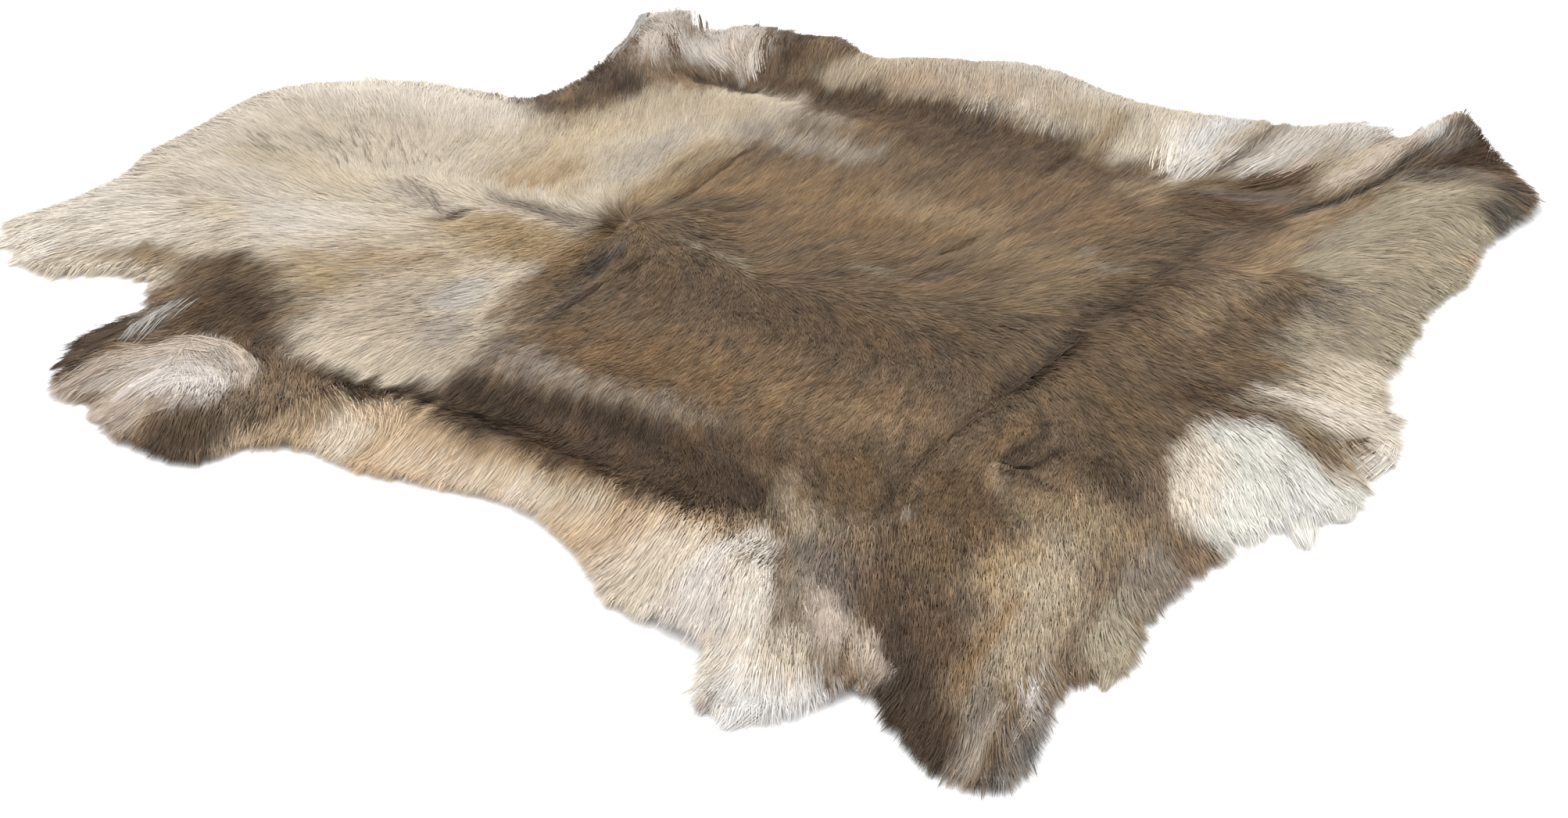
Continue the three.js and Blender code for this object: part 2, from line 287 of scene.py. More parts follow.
# heading in degrees, 0 towards the tail, 90 towards the right side
combing = [
    # x, y, heading, length, lift
    (-740, 235, 118, 26, 1.0),
    (-740, 130, 158, 26, 1.0),
    (-700, 100, 160, 24, 1.0),
    (-740, 50, 169, 26, 1.0),
    (-670, 20, 174, 24, 1.0),
    (-700, 200, 138, 26, 1.0),
    (-640, 160, 136, 26, 1.0),
    (-590, 120, 132, 25, 1.0),
    (-630, 90, 153, 24, 1.0),
    (-570, 105, 121, 24, 1.0),
    (-515, 130, 101, 24, 1.0),
    (-460, 130, 92, 24, 1.0),
    (-570, 245, 117, 26, 1.0),
    (-490, 255, 113, 26, 1.0),
    (-620, 290, 118, 26, 1.0),
    (-420, 250, 114, 26, 1.0),
    (-380, 190, 108, 25, 1.0),
    (-330, 200, 92, 24, 1.0),
    (-745, -65, 197, 26, 0.4),
    (-735, -110, 225, 26, 0.3),
    (-730, -190, 248, 26, 0.3),
    (-660, -210, 250, 26, 0.3),
    (-617, -120, 259, 24, 0.3),
    (-560, -175, 270, 24, 1.0),
    (-490, -260, 276, 22, 1.0),
    (-550, -65, 200, 24, 0.4),
    (-490, -90, 235, 22, 1.5),
    (-400, -100, 250, 20, 1.5),
    (-430, -160, 248, 20, 1.5),
    (-350, -120, 255, 21, 1.5),
    (-400, -200, 257, 22, 1.0),
    (-450, -250, 262, 25, 1.0),
    (-380, -250, 265, 25, 1.0),
    (-300, -250, 268, 25, 1.0),
    (-547, -275, 268, 22, 1.0),
    (-434, 450, 150, 26, 1.5),
    (-462, 485, 142, 34, 3.0),
    (-406, 480, 124, 26, 1.5),
    (-386, 508, 107, 30, 2.0),
    (-420, 550, 97, 26, 1.0),
    (-390, 340, 112, 24, 1.0),
    (-504, 340, 118, 26, 1.0),
    (-500, 420, 120, 28, 1.5),
    (-310, 400, 98, 24, 1.0),
    (-320, 500, 100, 26, 1.0),
    (-220, 370, 93, 24, 1.0),
    (-220, 250, 91, 24, 1.0),
    (-240, 470, 98, 28, 1.0),
    (-240, 550, 115, 32, 1.5),
    (-120, 470, 100, 28, 1.0),
    (-110, 550, 114, 34, 1.5),
    (-20, 490, 106, 34, 1.5),
    (-20, 560, 108, 36, 1.5),
    (40, 480, 103, 36, 1.5),
    (60, 550, 98, 38, 1.5),
    (90, 500, 90, 38, 1.5),
    (130, 500, 86, 36, 1.5),
    (130, 580, 86, 36, 1.5),
    (170, 520, 76, 36, 1.5),
    (200, 600, 86, 36, 1.5),
    (215, 540, 84, 36, 1.5),
    (60, 420, 100, 30, 1.0),
    (110, 432, 66, 26, 1.0),
    (150, 432, 52, 26, 1.0),
    (185, 430, 55, 26, 1.0),
    (205, 480, 78, 32, 1.0),
    (200, 385, 62, 24, 1.0),
    (-50, 420, 95, 24, 1.0),
    (20, 390, 88, 22, 1.0),
    (250, 330, 86, 24, 1.0),
    (250, 430, 86, 26, 1.0),
    (258, 520, 88, 28, 1.0),
    (270, 620, 90, 32, 2.0),
    (272, 680, 91, 36, 3.0),
    (305, 600, 78, 20, 1.0),
    (305, 550, 48, 24, 1.0),
    (345, 570, 22, 24, 1.0),
    (375, 525, 350, 24, 1.0),
    (372, 480, 318, 26, 1.0),
    (360, 440, 308, 26, 1.0),
    (300, 500, 20, 22, 1.5),
    (272, 500, 45, 22, 1.5),
    (268, 400, 40, 20, 1.5),
    (300, 400, 22, 20, 2.0),
    (335, 400, 346, 22, 2.0),
    (368, 400, 322, 26, 1.5),
    (300, 330, 15, 20, 2.0),
    (340, 340, 344, 22, 2.0),
    (372, 330, 332, 26, 1.5),
    (302, 262, 350, 16, 1.0),
    (278, 250, 286, 16, 1.0),
    (292, 222, 318, 18, 1.0),
    (330, 240, 346, 20, 1.0),
    (370, 200, 342, 26, 1.0),
    (330, 150, 340, 24, 1.0),
    (370, 120, 346, 30, 1.0),
    (300, 180, 330, 20, 1.0),
    (240, 230, 306, 20, 1.0),
    (240, 285, 72, 20, 1.0),
    (200, 300, 60, 20, 1.0),
    (200, 240, 335, 20, 1.0),
    (200, 180, 322, 20, 1.5),
    (220, 100, 322, 20, 1.5),
    (280, 80, 342, 22, 1.5),
    (230, 0, 318, 20, 1.5),
    (190, -60, 306, 20, 1.5),
    (260, -60, 318, 22, 1.5),
    (330, 50, 352, 32, 1.0),
    (400, 70, 352, 38, 1.0),
    (330, 15, 332, 32, 1.5),
    (400, -20, 322, 40, 1.5),
    (440, -60, 318, 40, 1.5),
    (330, -60, 312, 38, 1.5),
    (380, -120, 304, 42, 1.5),
    (430, -160, 308, 42, 1.5),
    (330, -170, 300, 36, 1.0),
    (-200, 120, 86, 22, 1.0),
    (-160, 90, 76, 20, 1.5),
    (-110, 75, 58, 18, 1.5),
    (-60, 90, 46, 18, 1.5),
    (-120, 200, 90, 22, 1.0),
    (-100, 300, 88, 24, 1.0),
    (-10, 300, 82, 22, 1.0),
    (-20, 200, 80, 20, 1.5),
    (0, 120, 62, 18, 1.5),
    (60, 130, 46, 18, 1.5),
    (70, 210, 64, 18, 1.5),
    (70, 300, 70, 20, 1.0),
    (60, 370, 76, 22, 1.0),
    (110, 310, 50, 20, 1.0),
    (100, 385, 44, 20, 1.0),
    (132, 388, 10, 20, 1.0),
    (155, 360, 335, 20, 1.0),
    (115, 220, 38, 18, 1.5),
    (115, 130, 12, 18, 1.5),
    (0, 45, 346, 18, 1.5),
    (60, 45, 344, 18, 1.5),
    (112, 60, 342, 18, 1.5),
    (112, 10, 318, 18, 1.5),
    (40, -20, 300, 20, 1.0),
    (0, 5, 303, 20, 1.0),
    (-306, 145, 96, 20, 1.0),
    (-332, 112, 125, 18, 1.0),
    (-292, 114, 24, 18, 1.5),
    (-268, 110, 350, 18, 1.5),
    (-238, 96, 332, 18, 1.5),
    (-262, 72, 316, 18, 1.5),
    (-285, 40, 288, 20, 1.0),
    (-305, 70, 262, 18, 1.0),
    (-335, 85, 190, 18, 1.0),
    (-400, 85, 106, 20, 1.0),
    (-440, 75, 120, 20, 1.0),
    (-400, 45, 258, 20, 1.0),
    (-440, 45, 235, 18, 1.5),
    (-350, 30, 262, 20, 1.0),
    (-430, -10, 232, 18, 1.5),
    (-350, -40, 262, 20, 1.0),
    (-505, 30, 190, 20, 1.0),
    (-470, 10, 215, 18, 1.5),
    (-240, 40, 294, 20, 1.0),
    (-200, 40, 300, 20, 1.0),
    (-215, 66, 336, 18, 1.5),
    (-180, 0, 292, 22, 1.0),
    (-100, 15, 306, 20, 1.0),
    (-60, 50, 326, 18, 1.5),
    (-250, -10, 280, 22, 1.0),
    (-265, -80, 271, 22, 1.0),
    (-300, -100, 268, 22, 1.0),
    (-180, -120, 276, 22, 1.0),
    (-60, -100, 280, 22, 1.0),
    (-180, -190, 275, 22, 1.0),
    (-200, -240, 284, 24, 1.0),
    (-140, -245, 290, 24, 1.0),
    (-60, -234, 291, 24, 1.0),
    (-25, -256, 318, 22, 1.0),
    (0, -200, 282, 22, 1.0),
    (40, -245, 303, 22, 1.0),
    (20, -130, 277, 22, 1.0),
    (85, -80, 288, 20, 1.0),
    (100, -160, 292, 22, 1.0),
    (110, -230, 300, 24, 1.0),
    (200, -120, 286, 20, 1.5),
    (200, -210, 290, 22, 1.5),
    (200, -300, 297, 28, 1.5),
    (255, -250, 298, 28, 1.5),
    (325, -255, 299, 32, 1.5),
    (385, -265, 294, 34, 1.5),
    (280, -330, 296, 30, 2.0),
    (330, -380, 294, 30, 2.0),
    (325, -500, 292, 34, 2.0),
    (385, -510, 287, 34, 1.5),
    (392, -330, 289, 34, 1.5),
    (170, -420, 300, 34, 1.5),
    (200, -490, 296, 38, 1.5),
    (190, -560, 292, 40, 1.5),
    (110, -440, 288, 36, 1.5),
    (90, -400, 284, 32, 1.5),
    (40, -400, 276, 32, 1.5),
    (-10, -400, 268, 32, 1.5),
    (-90, -380, 268, 32, 1.5),
    (-190, -360, 266, 28, 1.5),
    (-240, -385, 262, 30, 1.5),
    (-315, -345, 332, 26, 1.5),
    (-295, -372, 300, 28, 1.5),
    (-268, -385, 268, 30, 1.5),
    (-200, -300, 272, 22, 1.0),
    (-100, -300, 286, 24, 1.0),
    (-30, -315, 282, 26, 1.0),
    (60, -320, 302, 28, 1.0),
    (-395, -430, 300, 30, 2.0),
    (-430, -410, 286, 30, 2.0),
    (-460, -330, 345, 26, 2.0),
    (-418, -352, 300, 28, 2.0),
    (-470, -400, 262, 30, 2.0),
    (-500, -370, 235, 28, 2.0),
    (-515, -330, 205, 26, 1.5),
    (-560, -340, 248, 26, 1.5),
    (-475, -300, 330, 34, 3.0),
    (-438, -310, 322, 36, 3.0),
    (-402, -340, 306, 34, 2.5),
    (-375, -345, 300, 26, 1.5),
    (-370, -400, 282, 28, 1.5),
    (-320, -400, 276, 28, 1.5),
]

comb = {"near": 26, "wide": 90, "wideShare": 0.004, "rimLean": 0.55, "rimReach": 34}


def combMaps(rows):
    rows = np.array(rows, dtype=float)
    total = np.zeros(planX.shape)
    along = np.zeros(planX.shape)
    across = np.zeros(planX.shape)
    length = np.zeros(planX.shape)
    lift = np.zeros(planX.shape)
    for x, y, heading, hair, rise in rows:
        away = (markX - x) ** 2 + (markY - y) ** 2
        weight = np.exp(-away / (2 * comb["near"] ** 2))
        weight = weight + comb["wideShare"] * np.exp(-away / (2 * comb["wide"] ** 2)) + 1e-9
        total += weight
        along += weight * math.cos(math.radians(heading))
        across += weight * math.sin(math.radians(heading))
        length += weight * hair
        lift += weight * rise
    # the edge's hair leans outwards
    rim = comb["rimLean"] * total * ease(1 - inward / comb["rimReach"])
    along += rim * outX
    across += rim * outY
    size = np.hypot(along, across) + 1e-9
    return along / size, across / size, length / total, lift / total


lieX, lieY, hairLength, hairLift = combMaps(combing)
print("hair combed from", len(combing), "rows")


# noise drawn out along the lie of the hair, as combing draws out the shades of a coat
def combedNoise(size, reach, seed):
    x, y = planGrid(fineCell, 0, fineCell)
    total = softNoise(x, y, size, seed)
    for sign in (1, -1):
        px, py = x, y
        for _ in range(int(reach / fineCell)):
            dx, dy = sampleMap(lieX, px, py), sampleMap(lieY, px, py)
            px, py = px + sign * fineCell * dx, py + sign * fineCell * dy
            total = total + softNoise(px, py, size, seed)
    return (total - total.mean()) / total.std()


streaks = {
    # width, reach along the hair, seed
    "fine": (2.6, 4, 21),
    "mid": (4.6, 11, 22),
    "broad": (15, 34, 23),
    "edge": (5, 20, 24),
}

combed = {name: combedNoise(*row) for name, row in streaks.items()}
print("streaks combed")

creases = [
    # name, reach, line of x, y, depth
    ("loin fold", 13, [(164, 285, 1), (154, 185, 2), (141, 98, 2), (143, 40, 2), (143, -40, 2),
                       (139, -110, 2), (143, -230, 2)]),
    ("withers parting", 5, [(-292, 252, 2), (-291, 170, 5), (-290, 140, 3)]),
    ("withers line", 3.5, [(-251, 40, 2), (-250, -10, 5), (-254, -50, 4), (-256, -110, 1)]),
    ("withers hollow", 9, [(-287, 28, 3), (-277, 0, 6), (-272, -30, 6), (-276, -70, 2)]),
    ("neck spot", 6, [(-446, 34, 4), (-447, 6, 5)]),
    ("whorl eye", 6, [(-323, 100, 3), (-308, 80, 5), (-303, 62, 3)]),
    ("rump wrinkle", 3, [(188, -161, 3), (212, -162, 5), (220, -158, 4), (248, -174, 2)]),
    ("rump tuck", 5, [(199, -98, 3), (201, -158, 5)]),
    ("thigh fold", 7, [(256, 640, 3), (251, 520, 6), (243, 480, 7), (226, 440, 7), (219, 400, 3)]),
    ("belly parting", 5, [(118, 580, 4), (119, 520, 5), (115, 466, 4), (108, 440, 2)]),
    ("right flank crease", 6, [(-22, 432, 4), (-24, 395, 6), (-20, 362, 4)]),
    ("lobe crease", 5, [(-255, -305, 5), (-252, -350, 5), (-248, -402, 4)]),
    ("leg notch", 6, [(-347, -375, 5), (-345, -425, 6)]),
    ("side crease", 5, [(-12, 212, 2), (-18, 190, 4), (-24, 166, 2)]),
]


def pressCreases(surface, rows):
    for name, reach, line in rows:
        far, depth = nearLine(markX, markY, line)
        surface = surface - depth * np.exp(-(far / reach) ** 2)
        print("pressed the", name)
    return surface


pile = {"swell": 0.9, "swellSize": 46, "ripple": 0.6, "rippleSize": 19, "least": 3.2}

furTop = pressCreases(furTop, creases)
# the rest of the pile is a little uneven too
furTop += (pile["swell"] * softNoise(planX, planY, pile["swellSize"], 3)
           + pile["ripple"] * softNoise(planX, planY, pile["rippleSize"], 4))
furTop = np.maximum(furTop, skinLow + pile["least"])

coats = {
    "white": "#d0cdc5",
    "cool white": "#d6d3d0",
    "oat": "#d0c6b8",
    "ash white": "#c8c0b9",
    "bluish white": "#c6bfb6",
    "cream": "#d8d0c4",
    "cream tan": "#cdc1af",
    "straw": "#c6b79d",
    "beige": "#c0b29f",
    "sand": "#b5a68f",
    "peach": "#c6af93",
    "orange": "#b79c80",
    "rose tan": "#baa58e",
    "fawn": "#bba98c",
    "tan": "#b39d79",
    "golden tan": "#ab9270",
    "light golden": "#9d886d",
    "golden": "#876d4f",
    "olive": "#8e7c62",
    "brown": "#786551",
    "umber": "#69553e",
    "dark brown": "#5c4a3a",
    "dark": "#44372b",
    "black": "#34291f",
    "slate": "#4c4742",
    "blue grey": "#6c6259",
    "grey brown": "#857a6d",
    "silver": "#a29687",
    "light silver": "#b4aa9e",
    "greige": "#a39883",
    "mushroom": "#b5a697",
    "steel": "#9c9892",
}

# closed outlines of the coat's large fields
fields = [
    # coat, soft, outline of x, y
    ("cream tan", 34, [(-900, 420), (-620, 330), (-585, 286), (-545, 262), (-500, 250), (-462, 266),
                       (-442, 300), (-430, 345), (-395, 398),
                       (-300, 412), (-298, 300), (-334, 288), (-336, 125), (-334, 60), (-330, 0),
                       (-316, -60), (-290, -140), (-274, -220), (-270, -290), (-405, -292),
                       (-436, -240), (-490, -186), (-510, -146), (-574, -136), (-588, -180),
                       (-600, -260), (-900, -320)]),
    ("peach", 38, [(-310, -306), (-300, -316), (-256, -300), (-244, -306), (-205, -330),
                   (-145, -336), (-90, -346), (-40, -350), (16, -346), (58, -352), (92, -363),
                   (117, -383), (134, -405), (190, -520), (120, -620), (-380, -520), (-350, -428)]),
    ("sand", 16, [(-325, 474), (-230, 476), (-150, 480), (-60, 470), (-15, 446), (30, 436),
                  (70, 420), (88, 400), (104, 436), (128, 450), (160, 488), (196, 498),
                  (206, 452), (228, 462), (243, 500), (252, 560), (262, 720), (-340, 700)]),
    ("greige", 30, [(262, 525), (258, 440), (240, 300), (290, 290), (300, 110), (350, 60),
                    (440, 60), (440, 420), (360, 545)]),
    ("white", 16, [(345, 0), (328, -10), (316, -32), (316, -80), (329, -128), (348, -162),
                   (374, -190), (412, -206), (500, -180), (500, -66), (440, -58), (398, -38),
                   (362, -4)]),
]

markings = [
    # coat, cover, soft, line of x, y, width
    # neck
    ("oat", 0.9, 40, [(-790, 215, 150), (-650, 220, 140), (-545, 232, 80)]),
    ("oat", 0.7, 50, [(-800, 100, 90), (-745, 60, 90)]),
    ("beige", 0.45, 50, [(-690, 75, 60), (-620, 75, 80), (-560, 70, 50)]),
    ("beige", 0.65, 50, [(-680, 150, 60), (-600, 150, 110), (-540, 160, 60)]),
    ("straw", 0.6, 24, [(-700, 40, 44), (-640, 36, 44), (-575, 30, 40)]),
    ("beige", 0.5, 20, [(-770, 165, 24), (-725, 166, 24)]),
    ("beige", 0.45, 20, [(-650, 172, 24), (-630, 168, 24)]),
    ("grey brown", 0.35, 10, [(-680, 112, 12), (-630, 102, 16), (-585, 90, 8)]),
    ("cream", 0.9, 50, [(-605, -50, 70), (-555, -65, 100), (-500, -75, 70)]),
    ("cream", 0.9, 40, [(-790, -110, 130), (-720, -140, 150), (-665, -150, 90)]),
    ("oat", 0.5, 50, [(-780, 10, 60), (-700, -10, 80), (-620, -20, 60)]),
    ("light golden", 0.8, 18, [(-664, -194, 24), (-632, -190, 40), (-606, -190, 40)]),
    ("straw", 0.5, 20, [(-655, -72, 30), (-625, -78, 26)]),
    ("light silver", 0.55, 10, [(-612, -104, 12), (-602, -126, 12)]),
    # right shoulder
    ("fawn", 0.85, 60, [(-446, 155, 70), (-445, 250, 76)]),
    ("sand", 0.6, 44, [(-474, 110, 36), (-484, 180, 40), (-484, 236, 40)]),
    ("sand", 0.7, 44, [(-384, 120, 44), (-380, 200, 50), (-384, 290, 44)]),
    ("brown", 0.4, 40, [(-500, 250, 40), (-470, 270, 50)]),
    ("sand", 0.9, 34, [(-440, 290, 56), (-400, 335, 100), (-355, 360, 76)]),
    ("golden tan", 0.8, 30, [(-444, 112, 40), (-410, 128, 50), (-420, 160, 30)]),
    ("straw", 0.75, 12, [(-392, 106, 16), (-393, 150, 16)]),
    ("light silver", 0.8, 20, [(-366, 178, 36), (-366, 240, 44), (-368, 282, 38)]),
    ("beige", 0.6, 20, [(-392, 298, 30), (-375, 320, 30)]),
    ("tan", 0.6, 44, [(-328, 140, 36), (-330, 220, 42), (-330, 280, 36)]),
    ("tan", 0.5, 14, [(-312, 136, 20), (-312, 220, 24), (-310, 280, 24)]),
    ("sand", 0.5, 14, [(-314, 200, 20), (-312, 280, 24)]),
    ("beige", 0.8, 12, [(-320, 338, 20), (-318, 424, 22)]),
    # painted shade: this thin dark line lies in the withers parting
    ("dark", 0.7, 6, [(-290, 296, 5), (-290, 220, 9), (-289, 140, 8)]),
    # withers
    ("light silver", 0.7, 22, [(-536, 46, 20), (-500, 36, 34), (-462, 20, 30)]),
    ("silver", 0.85, 24, [(-432, 66, 22), (-380, 66, 30), (-332, 64, 28)]),
    ("grey brown", 0.5, 18, [(-432, 66, 18), (-380, 66, 24), (-332, 64, 22)]),
    ("tan", 0.8, 34, [(-430, 6, 60), (-370, 0, 76), (-336, 0, 64)]),
    ("golden tan", 0.7, 28, [(-410, 14, 34), (-360, 4, 46), (-336, 0, 44)]),
    # painted shade: this dark spot lies in the pressed neck spot
    ("dark", 0.85, 6, [(-446, 33, 8), (-447, 8, 11)]),
    ("umber", 0.9, 12, [(-315, 98, 18), (-312, 64, 22)]),
    # painted shade: this dark line lies in the whorl's eye, where the pile is pressed in
    ("dark", 0.5, 8, [(-316, 92, 8), (-312, 68, 10)]),
    ("golden", 0.75, 18, [(-312, 8, 20), (-308, -70, 24), (-302, -140, 16)]),
    # painted shade: the slate and black lines lie in the withers hollow
    ("slate", 0.75, 12, [(-284, 46, 10), (-279, 10, 20), (-276, -36, 20)]),
    ("black", 0.3, 7, [(-275, 0, 8), (-274, -30, 8)]),
    ("blue grey", 0.55, 12, [(-266, -58, 16), (-263, -130, 14)]),
    ("grey brown", 0.6, 16, [(-262, -140, 16), (-258, -190, 12)]),
    ("silver", 0.5, 34, [(-272, -150, 20), (-264, -200, 26), (-264, -240, 24)]),
    # painted shade: this thin dark line lies in the withers line crease
    ("dark", 0.6, 4, [(-252, 36, 4), (-252, -120, 5)]),
    # left shoulder
    ("beige", 0.9, 34, [(-440, -120, 50), (-400, -170, 110), (-325, -220, 100)]),
    ("cream tan", 0.5, 28, [(-440, -245, 52), (-370, -252, 60), (-300, -250, 56)]),
    ("fawn", 0.35, 30, [(-470, -60, 40), (-400, -60, 50)]),
    ("bluish white", 0.9, 16, [(-352, -86, 30), (-350, -140, 34)]),
    ("light silver", 0.85, 12, [(-328, -168, 28), (-319, -204, 28)]),
    ("tan", 0.5, 24, [(-468, -92, 22), (-464, -160, 26), (-457, -224, 24)]),
    # back
    ("umber", 0.4, 50, [(196, 70, 50), (230, -30, 80), (245, -100, 60)]),
    ("umber", 0.7, 24, [(180, -210, 40), (215, -250, 50)]),
    ("golden", 0.6, 80, [(-262, 210, 90), (-160, 215, 140), (-70, 220, 110), (0, 225, 70)]),
    ("light golden", 0.3, 50, [(-240, 220, 60), (-170, 224, 60)]),
    ("golden", 0.4, 40, [(-262, 225, 60), (-200, 215, 60)]),
    ("light golden", 0.7, 36, [(-110, 245, 36), (-25, 246, 40)]),
    ("olive", 0.7, 50, [(10, 200, 60), (86, 190, 70), (80, 130, 60)]),
    ("golden", 0.4, 40, [(-60, 330, 60), (30, 330, 70), (80, 290, 60)]),
    ("golden", 0.35, 26, [(-222, 120, 20), (-180, 110, 26)]),
    ("silver", 0.7, 7, [(84, 233, 10), (93, 226, 12)]),
    ("silver", 0.65, 7, [(107, 207, 12), (114, 202, 12)]),
    ("dark brown", 0.6, 56, [(-240, 0, 40), (-160, -14, 80), (-40, -18, 90), (20, -22, 80)]),
    ("dark brown", 0.3, 50, [(60, -10, 70), (125, -20, 70)]),
    ("greige", 0.7, 7, [(-242, 83, 8), (-226, 78, 10), (-213, 69, 8)]),
    ("greige", 0.7, 8, [(-192, 65, 10), (-170, 58, 12), (-148, 49, 8)]),
    ("greige", 0.6, 8, [(-82, 105, 8), (-60, 101, 10), (-40, 94, 8)]),
    ("dark", 0.65, 11, [(-196, 58, 11), (-194, 33, 13)]),
    ("golden", 0.75, 50, [(-232, -138, 50), (-150, -140, 80), (-50, -142, 84), (60, -135, 70)]),
    ("light golden", 0.4, 40, [(-30, -140, 40), (30, -146, 50), (80, -140, 40)]),
    ("brown", 0.6, 12, [(-206, -85, 10), (-203, -150, 10)]),
    ("brown", 0.5, 12, [(-112, -85, 10), (-108, -160, 10)]),
    ("brown", 0.45, 10, [(-32, -85, 9), (-28, -150, 9)]),
    ("silver", 0.6, 34, [(-256, -192, 12), (-220, -206, 28), (-150, -210, 28), (-90, -210, 20),
                         (-45, -210, 6)]),
    ("light silver", 0.35, 16, [(-235, -194, 12), (-165, -198, 16)]),
    ("dark", 0.95, 24, [(-246, -264, 44), (-180, -264, 66), (-100, -262, 68), (-40, -258, 56)]),
    ("dark brown", 0.9, 22, [(-38, -236, 38), (30, -240, 44)]),
    ("dark", 0.9, 22, [(-46, -306, 62), (0, -302, 74), (52, -306, 56)]),
    ("umber", 0.85, 30, [(90, -210, 60), (112, -260, 70), (152, -250, 40)]),
    ("umber", 0.7, 30, [(180, -200, 40), (205, -300, 70), (215, -350, 60)]),
    ("sand", 0.35, 20, [(60, -262, 16), (88, -300, 26), (116, -345, 22)]),
    # right flank
    ("silver", 0.9, 24, [(-314, 326, 36), (-250, 326, 50), (-195, 323, 40)]),
    ("silver", 0.65, 22, [(-296, 379, 36), (-255, 380, 40)]),
    ("dark brown", 0.95, 24, [(-336, 440, 42), (-250, 434, 76), (-160, 428, 86)]),
    ("dark brown", 0.8, 34, [(-150, 416, 100), (-75, 412, 114), (-15, 412, 100)]),
    ("dark", 0.2, 22, [(-330, 445, 24), (-240, 450, 32), (-105, 440, 46), (-10, 436, 46)]),
    ("brown", 0.8, 14, [(2, 424, 34), (42, 424, 34)]),
    ("light golden", 0.9, 14, [(50, 380, 30), (90, 374, 44)]),
    ("dark brown", 0.85, 20, [(116, 376, 50), (192, 376, 50)]),
    # right belly
    ("orange", 0.75, 16, [(-262, 500, 30), (-236, 520, 40)]),
    ("mushroom", 0.7, 30, [(-300, 560, 60), (-200, 560, 70), (-110, 540, 70)]),
    ("oat", 0.8, 30, [(-60, 570, 60), (0, 565, 60)]),
    ("rose tan", 0.7, 18, [(-205, 505, 40), (-160, 530, 50)]),
    ("light silver", 0.8, 14, [(-300, 578, 26), (-250, 582, 26)]),
    ("bluish white", 0.7, 18, [(-180, 594, 34), (-110, 594, 38), (-60, 590, 36)]),
    ("silver", 0.8, 18, [(-150, 488, 24), (-90, 486, 44), (-40, 478, 34)]),
    ("grey brown", 0.5, 12, [(-150, 468, 14), (-90, 466, 16), (-40, 460, 14)]),
    ("fawn", 0.6, 12, [(-86, 515, 26), (-64, 515, 26)]),
    ("olive", 0.7, 10, [(-24, 535, 16), (-16, 480, 20), (-12, 438, 18)]),
    ("cream tan", 0.85, 18, [(22, 446, 30), (22, 520, 50), (24, 590, 60)]),
    ("cream", 0.9, 20, [(84, 424, 10), (74, 460, 40), (68, 520, 60), (62, 600, 66)]),
    ("cool white", 0.7, 14, [(84, 440, 10), (76, 490, 30), (70, 560, 40)]),
    ("bluish white", 0.7, 18, [(126, 464, 24), (134, 530, 40), (138, 600, 40)]),
    ("grey brown", 0.6, 8, [(122, 592, 12), (118, 520, 14), (112, 448, 12)]),
    ("bluish white", 0.8, 18, [(150, 480, 20), (160, 540, 40), (190, 590, 70)]),
    ("cool white", 0.85, 18, [(150, 622, 40), (200, 624, 44), (245, 620, 40)]),
    ("greige", 0.5, 16, [(184, 505, 24), (186, 556, 26)]),
    ("mushroom", 0.9, 10, [(208, 464, 16), (222, 500, 30), (232, 550, 34), (236, 600, 30)]),
    ("blue grey", 0.95, 12, [(128, 414, 18), (180, 420, 32), (225, 428, 24)]),
    ("dark brown", 0.9, 12, [(170, 448, 26), (192, 466, 26)]),
    ("dark brown", 0.4, 12, [(150, 424, 24), (200, 430, 24)]),
    # right hind leg
    ("light golden", 0.8, 16, [(228, 305, 30), (232, 400, 30), (240, 470, 16)]),
    ("sand", 0.5, 26, [(300, 500, 60), (310, 430, 70), (320, 350, 80)]),
    ("dark", 0.85, 18, [(290, 640, 40), (310, 605, 70), (345, 590, 44)]),
    ("dark brown", 0.75, 22, [(290, 620, 40), (318, 584, 60), (360, 556, 50)]),
    ("grey brown", 0.9, 8, [(272, 700, 22), (274, 640, 26), (272, 592, 20)]),
    ("light silver", 0.6, 4, [(260, 690, 3), (259, 620, 4)]),
    ("grey brown", 0.85, 12, [(270, 534, 12), (300, 552, 26), (342, 562, 24)]),
    ("dark brown", 0.6, 12, [(372, 470, 20), (362, 505, 24)]),
    ("slate", 0.85, 12, [(392, 455, 22), (380, 500, 26), (362, 540, 26)]),
    ("orange", 0.7, 10, [(384, 390, 12), (383, 372, 14)]),
    ("light golden", 0.8, 22, [(228, 290, 40), (228, 200, 40), (226, 110, 40)]),
    ("brown", 0.6, 26, [(275, 225, 30), (280, 150, 50), (280, 95, 50)]),
    ("sand", 0.6, 40, [(335, 330, 50), (345, 250, 50), (350, 170, 50)]),
    ("grey brown", 0.3, 34, [(322, 262, 50), (345, 212, 64), (345, 160, 50)]),
    ("beige", 0.9, 20, [(366, 136, 30), (380, 90, 40)]),
    ("grey brown", 0.8, 14, [(300, 262, 26), (303, 222, 30)]),
    # painted shade: this slate line lies in the thigh fold
    ("slate", 0.95, 6, [(262, 700, 3), (256, 600, 6), (252, 540, 8), (249, 490, 10), (238, 460, 12),
                        (225, 430, 12), (215, 405, 10)]),
    # rump and tail
    ("brown", 0.9, 30, [(230, 70, 100), (290, 75, 90), (310, 95, 60)]),
    ("dark brown", 0.8, 18, [(275, 24, 50), (330, 26, 46)]),
    ("greige", 0.6, 14, [(328, 34, 26), (365, 20, 22)]),
    ("oat", 0.9, 12, [(392, 60, 44), (430, 56, 44), (452, 30, 40), (458, -30, 30), (456, -60, 24)]),
    ("olive", 0.9, 9, [(365, 22, 16), (396, 0, 16), (424, -26, 22), (438, -48, 14)]),
    ("dark brown", 0.8, 8, [(388, -8, 8), (412, -22, 12), (430, -38, 10)]),
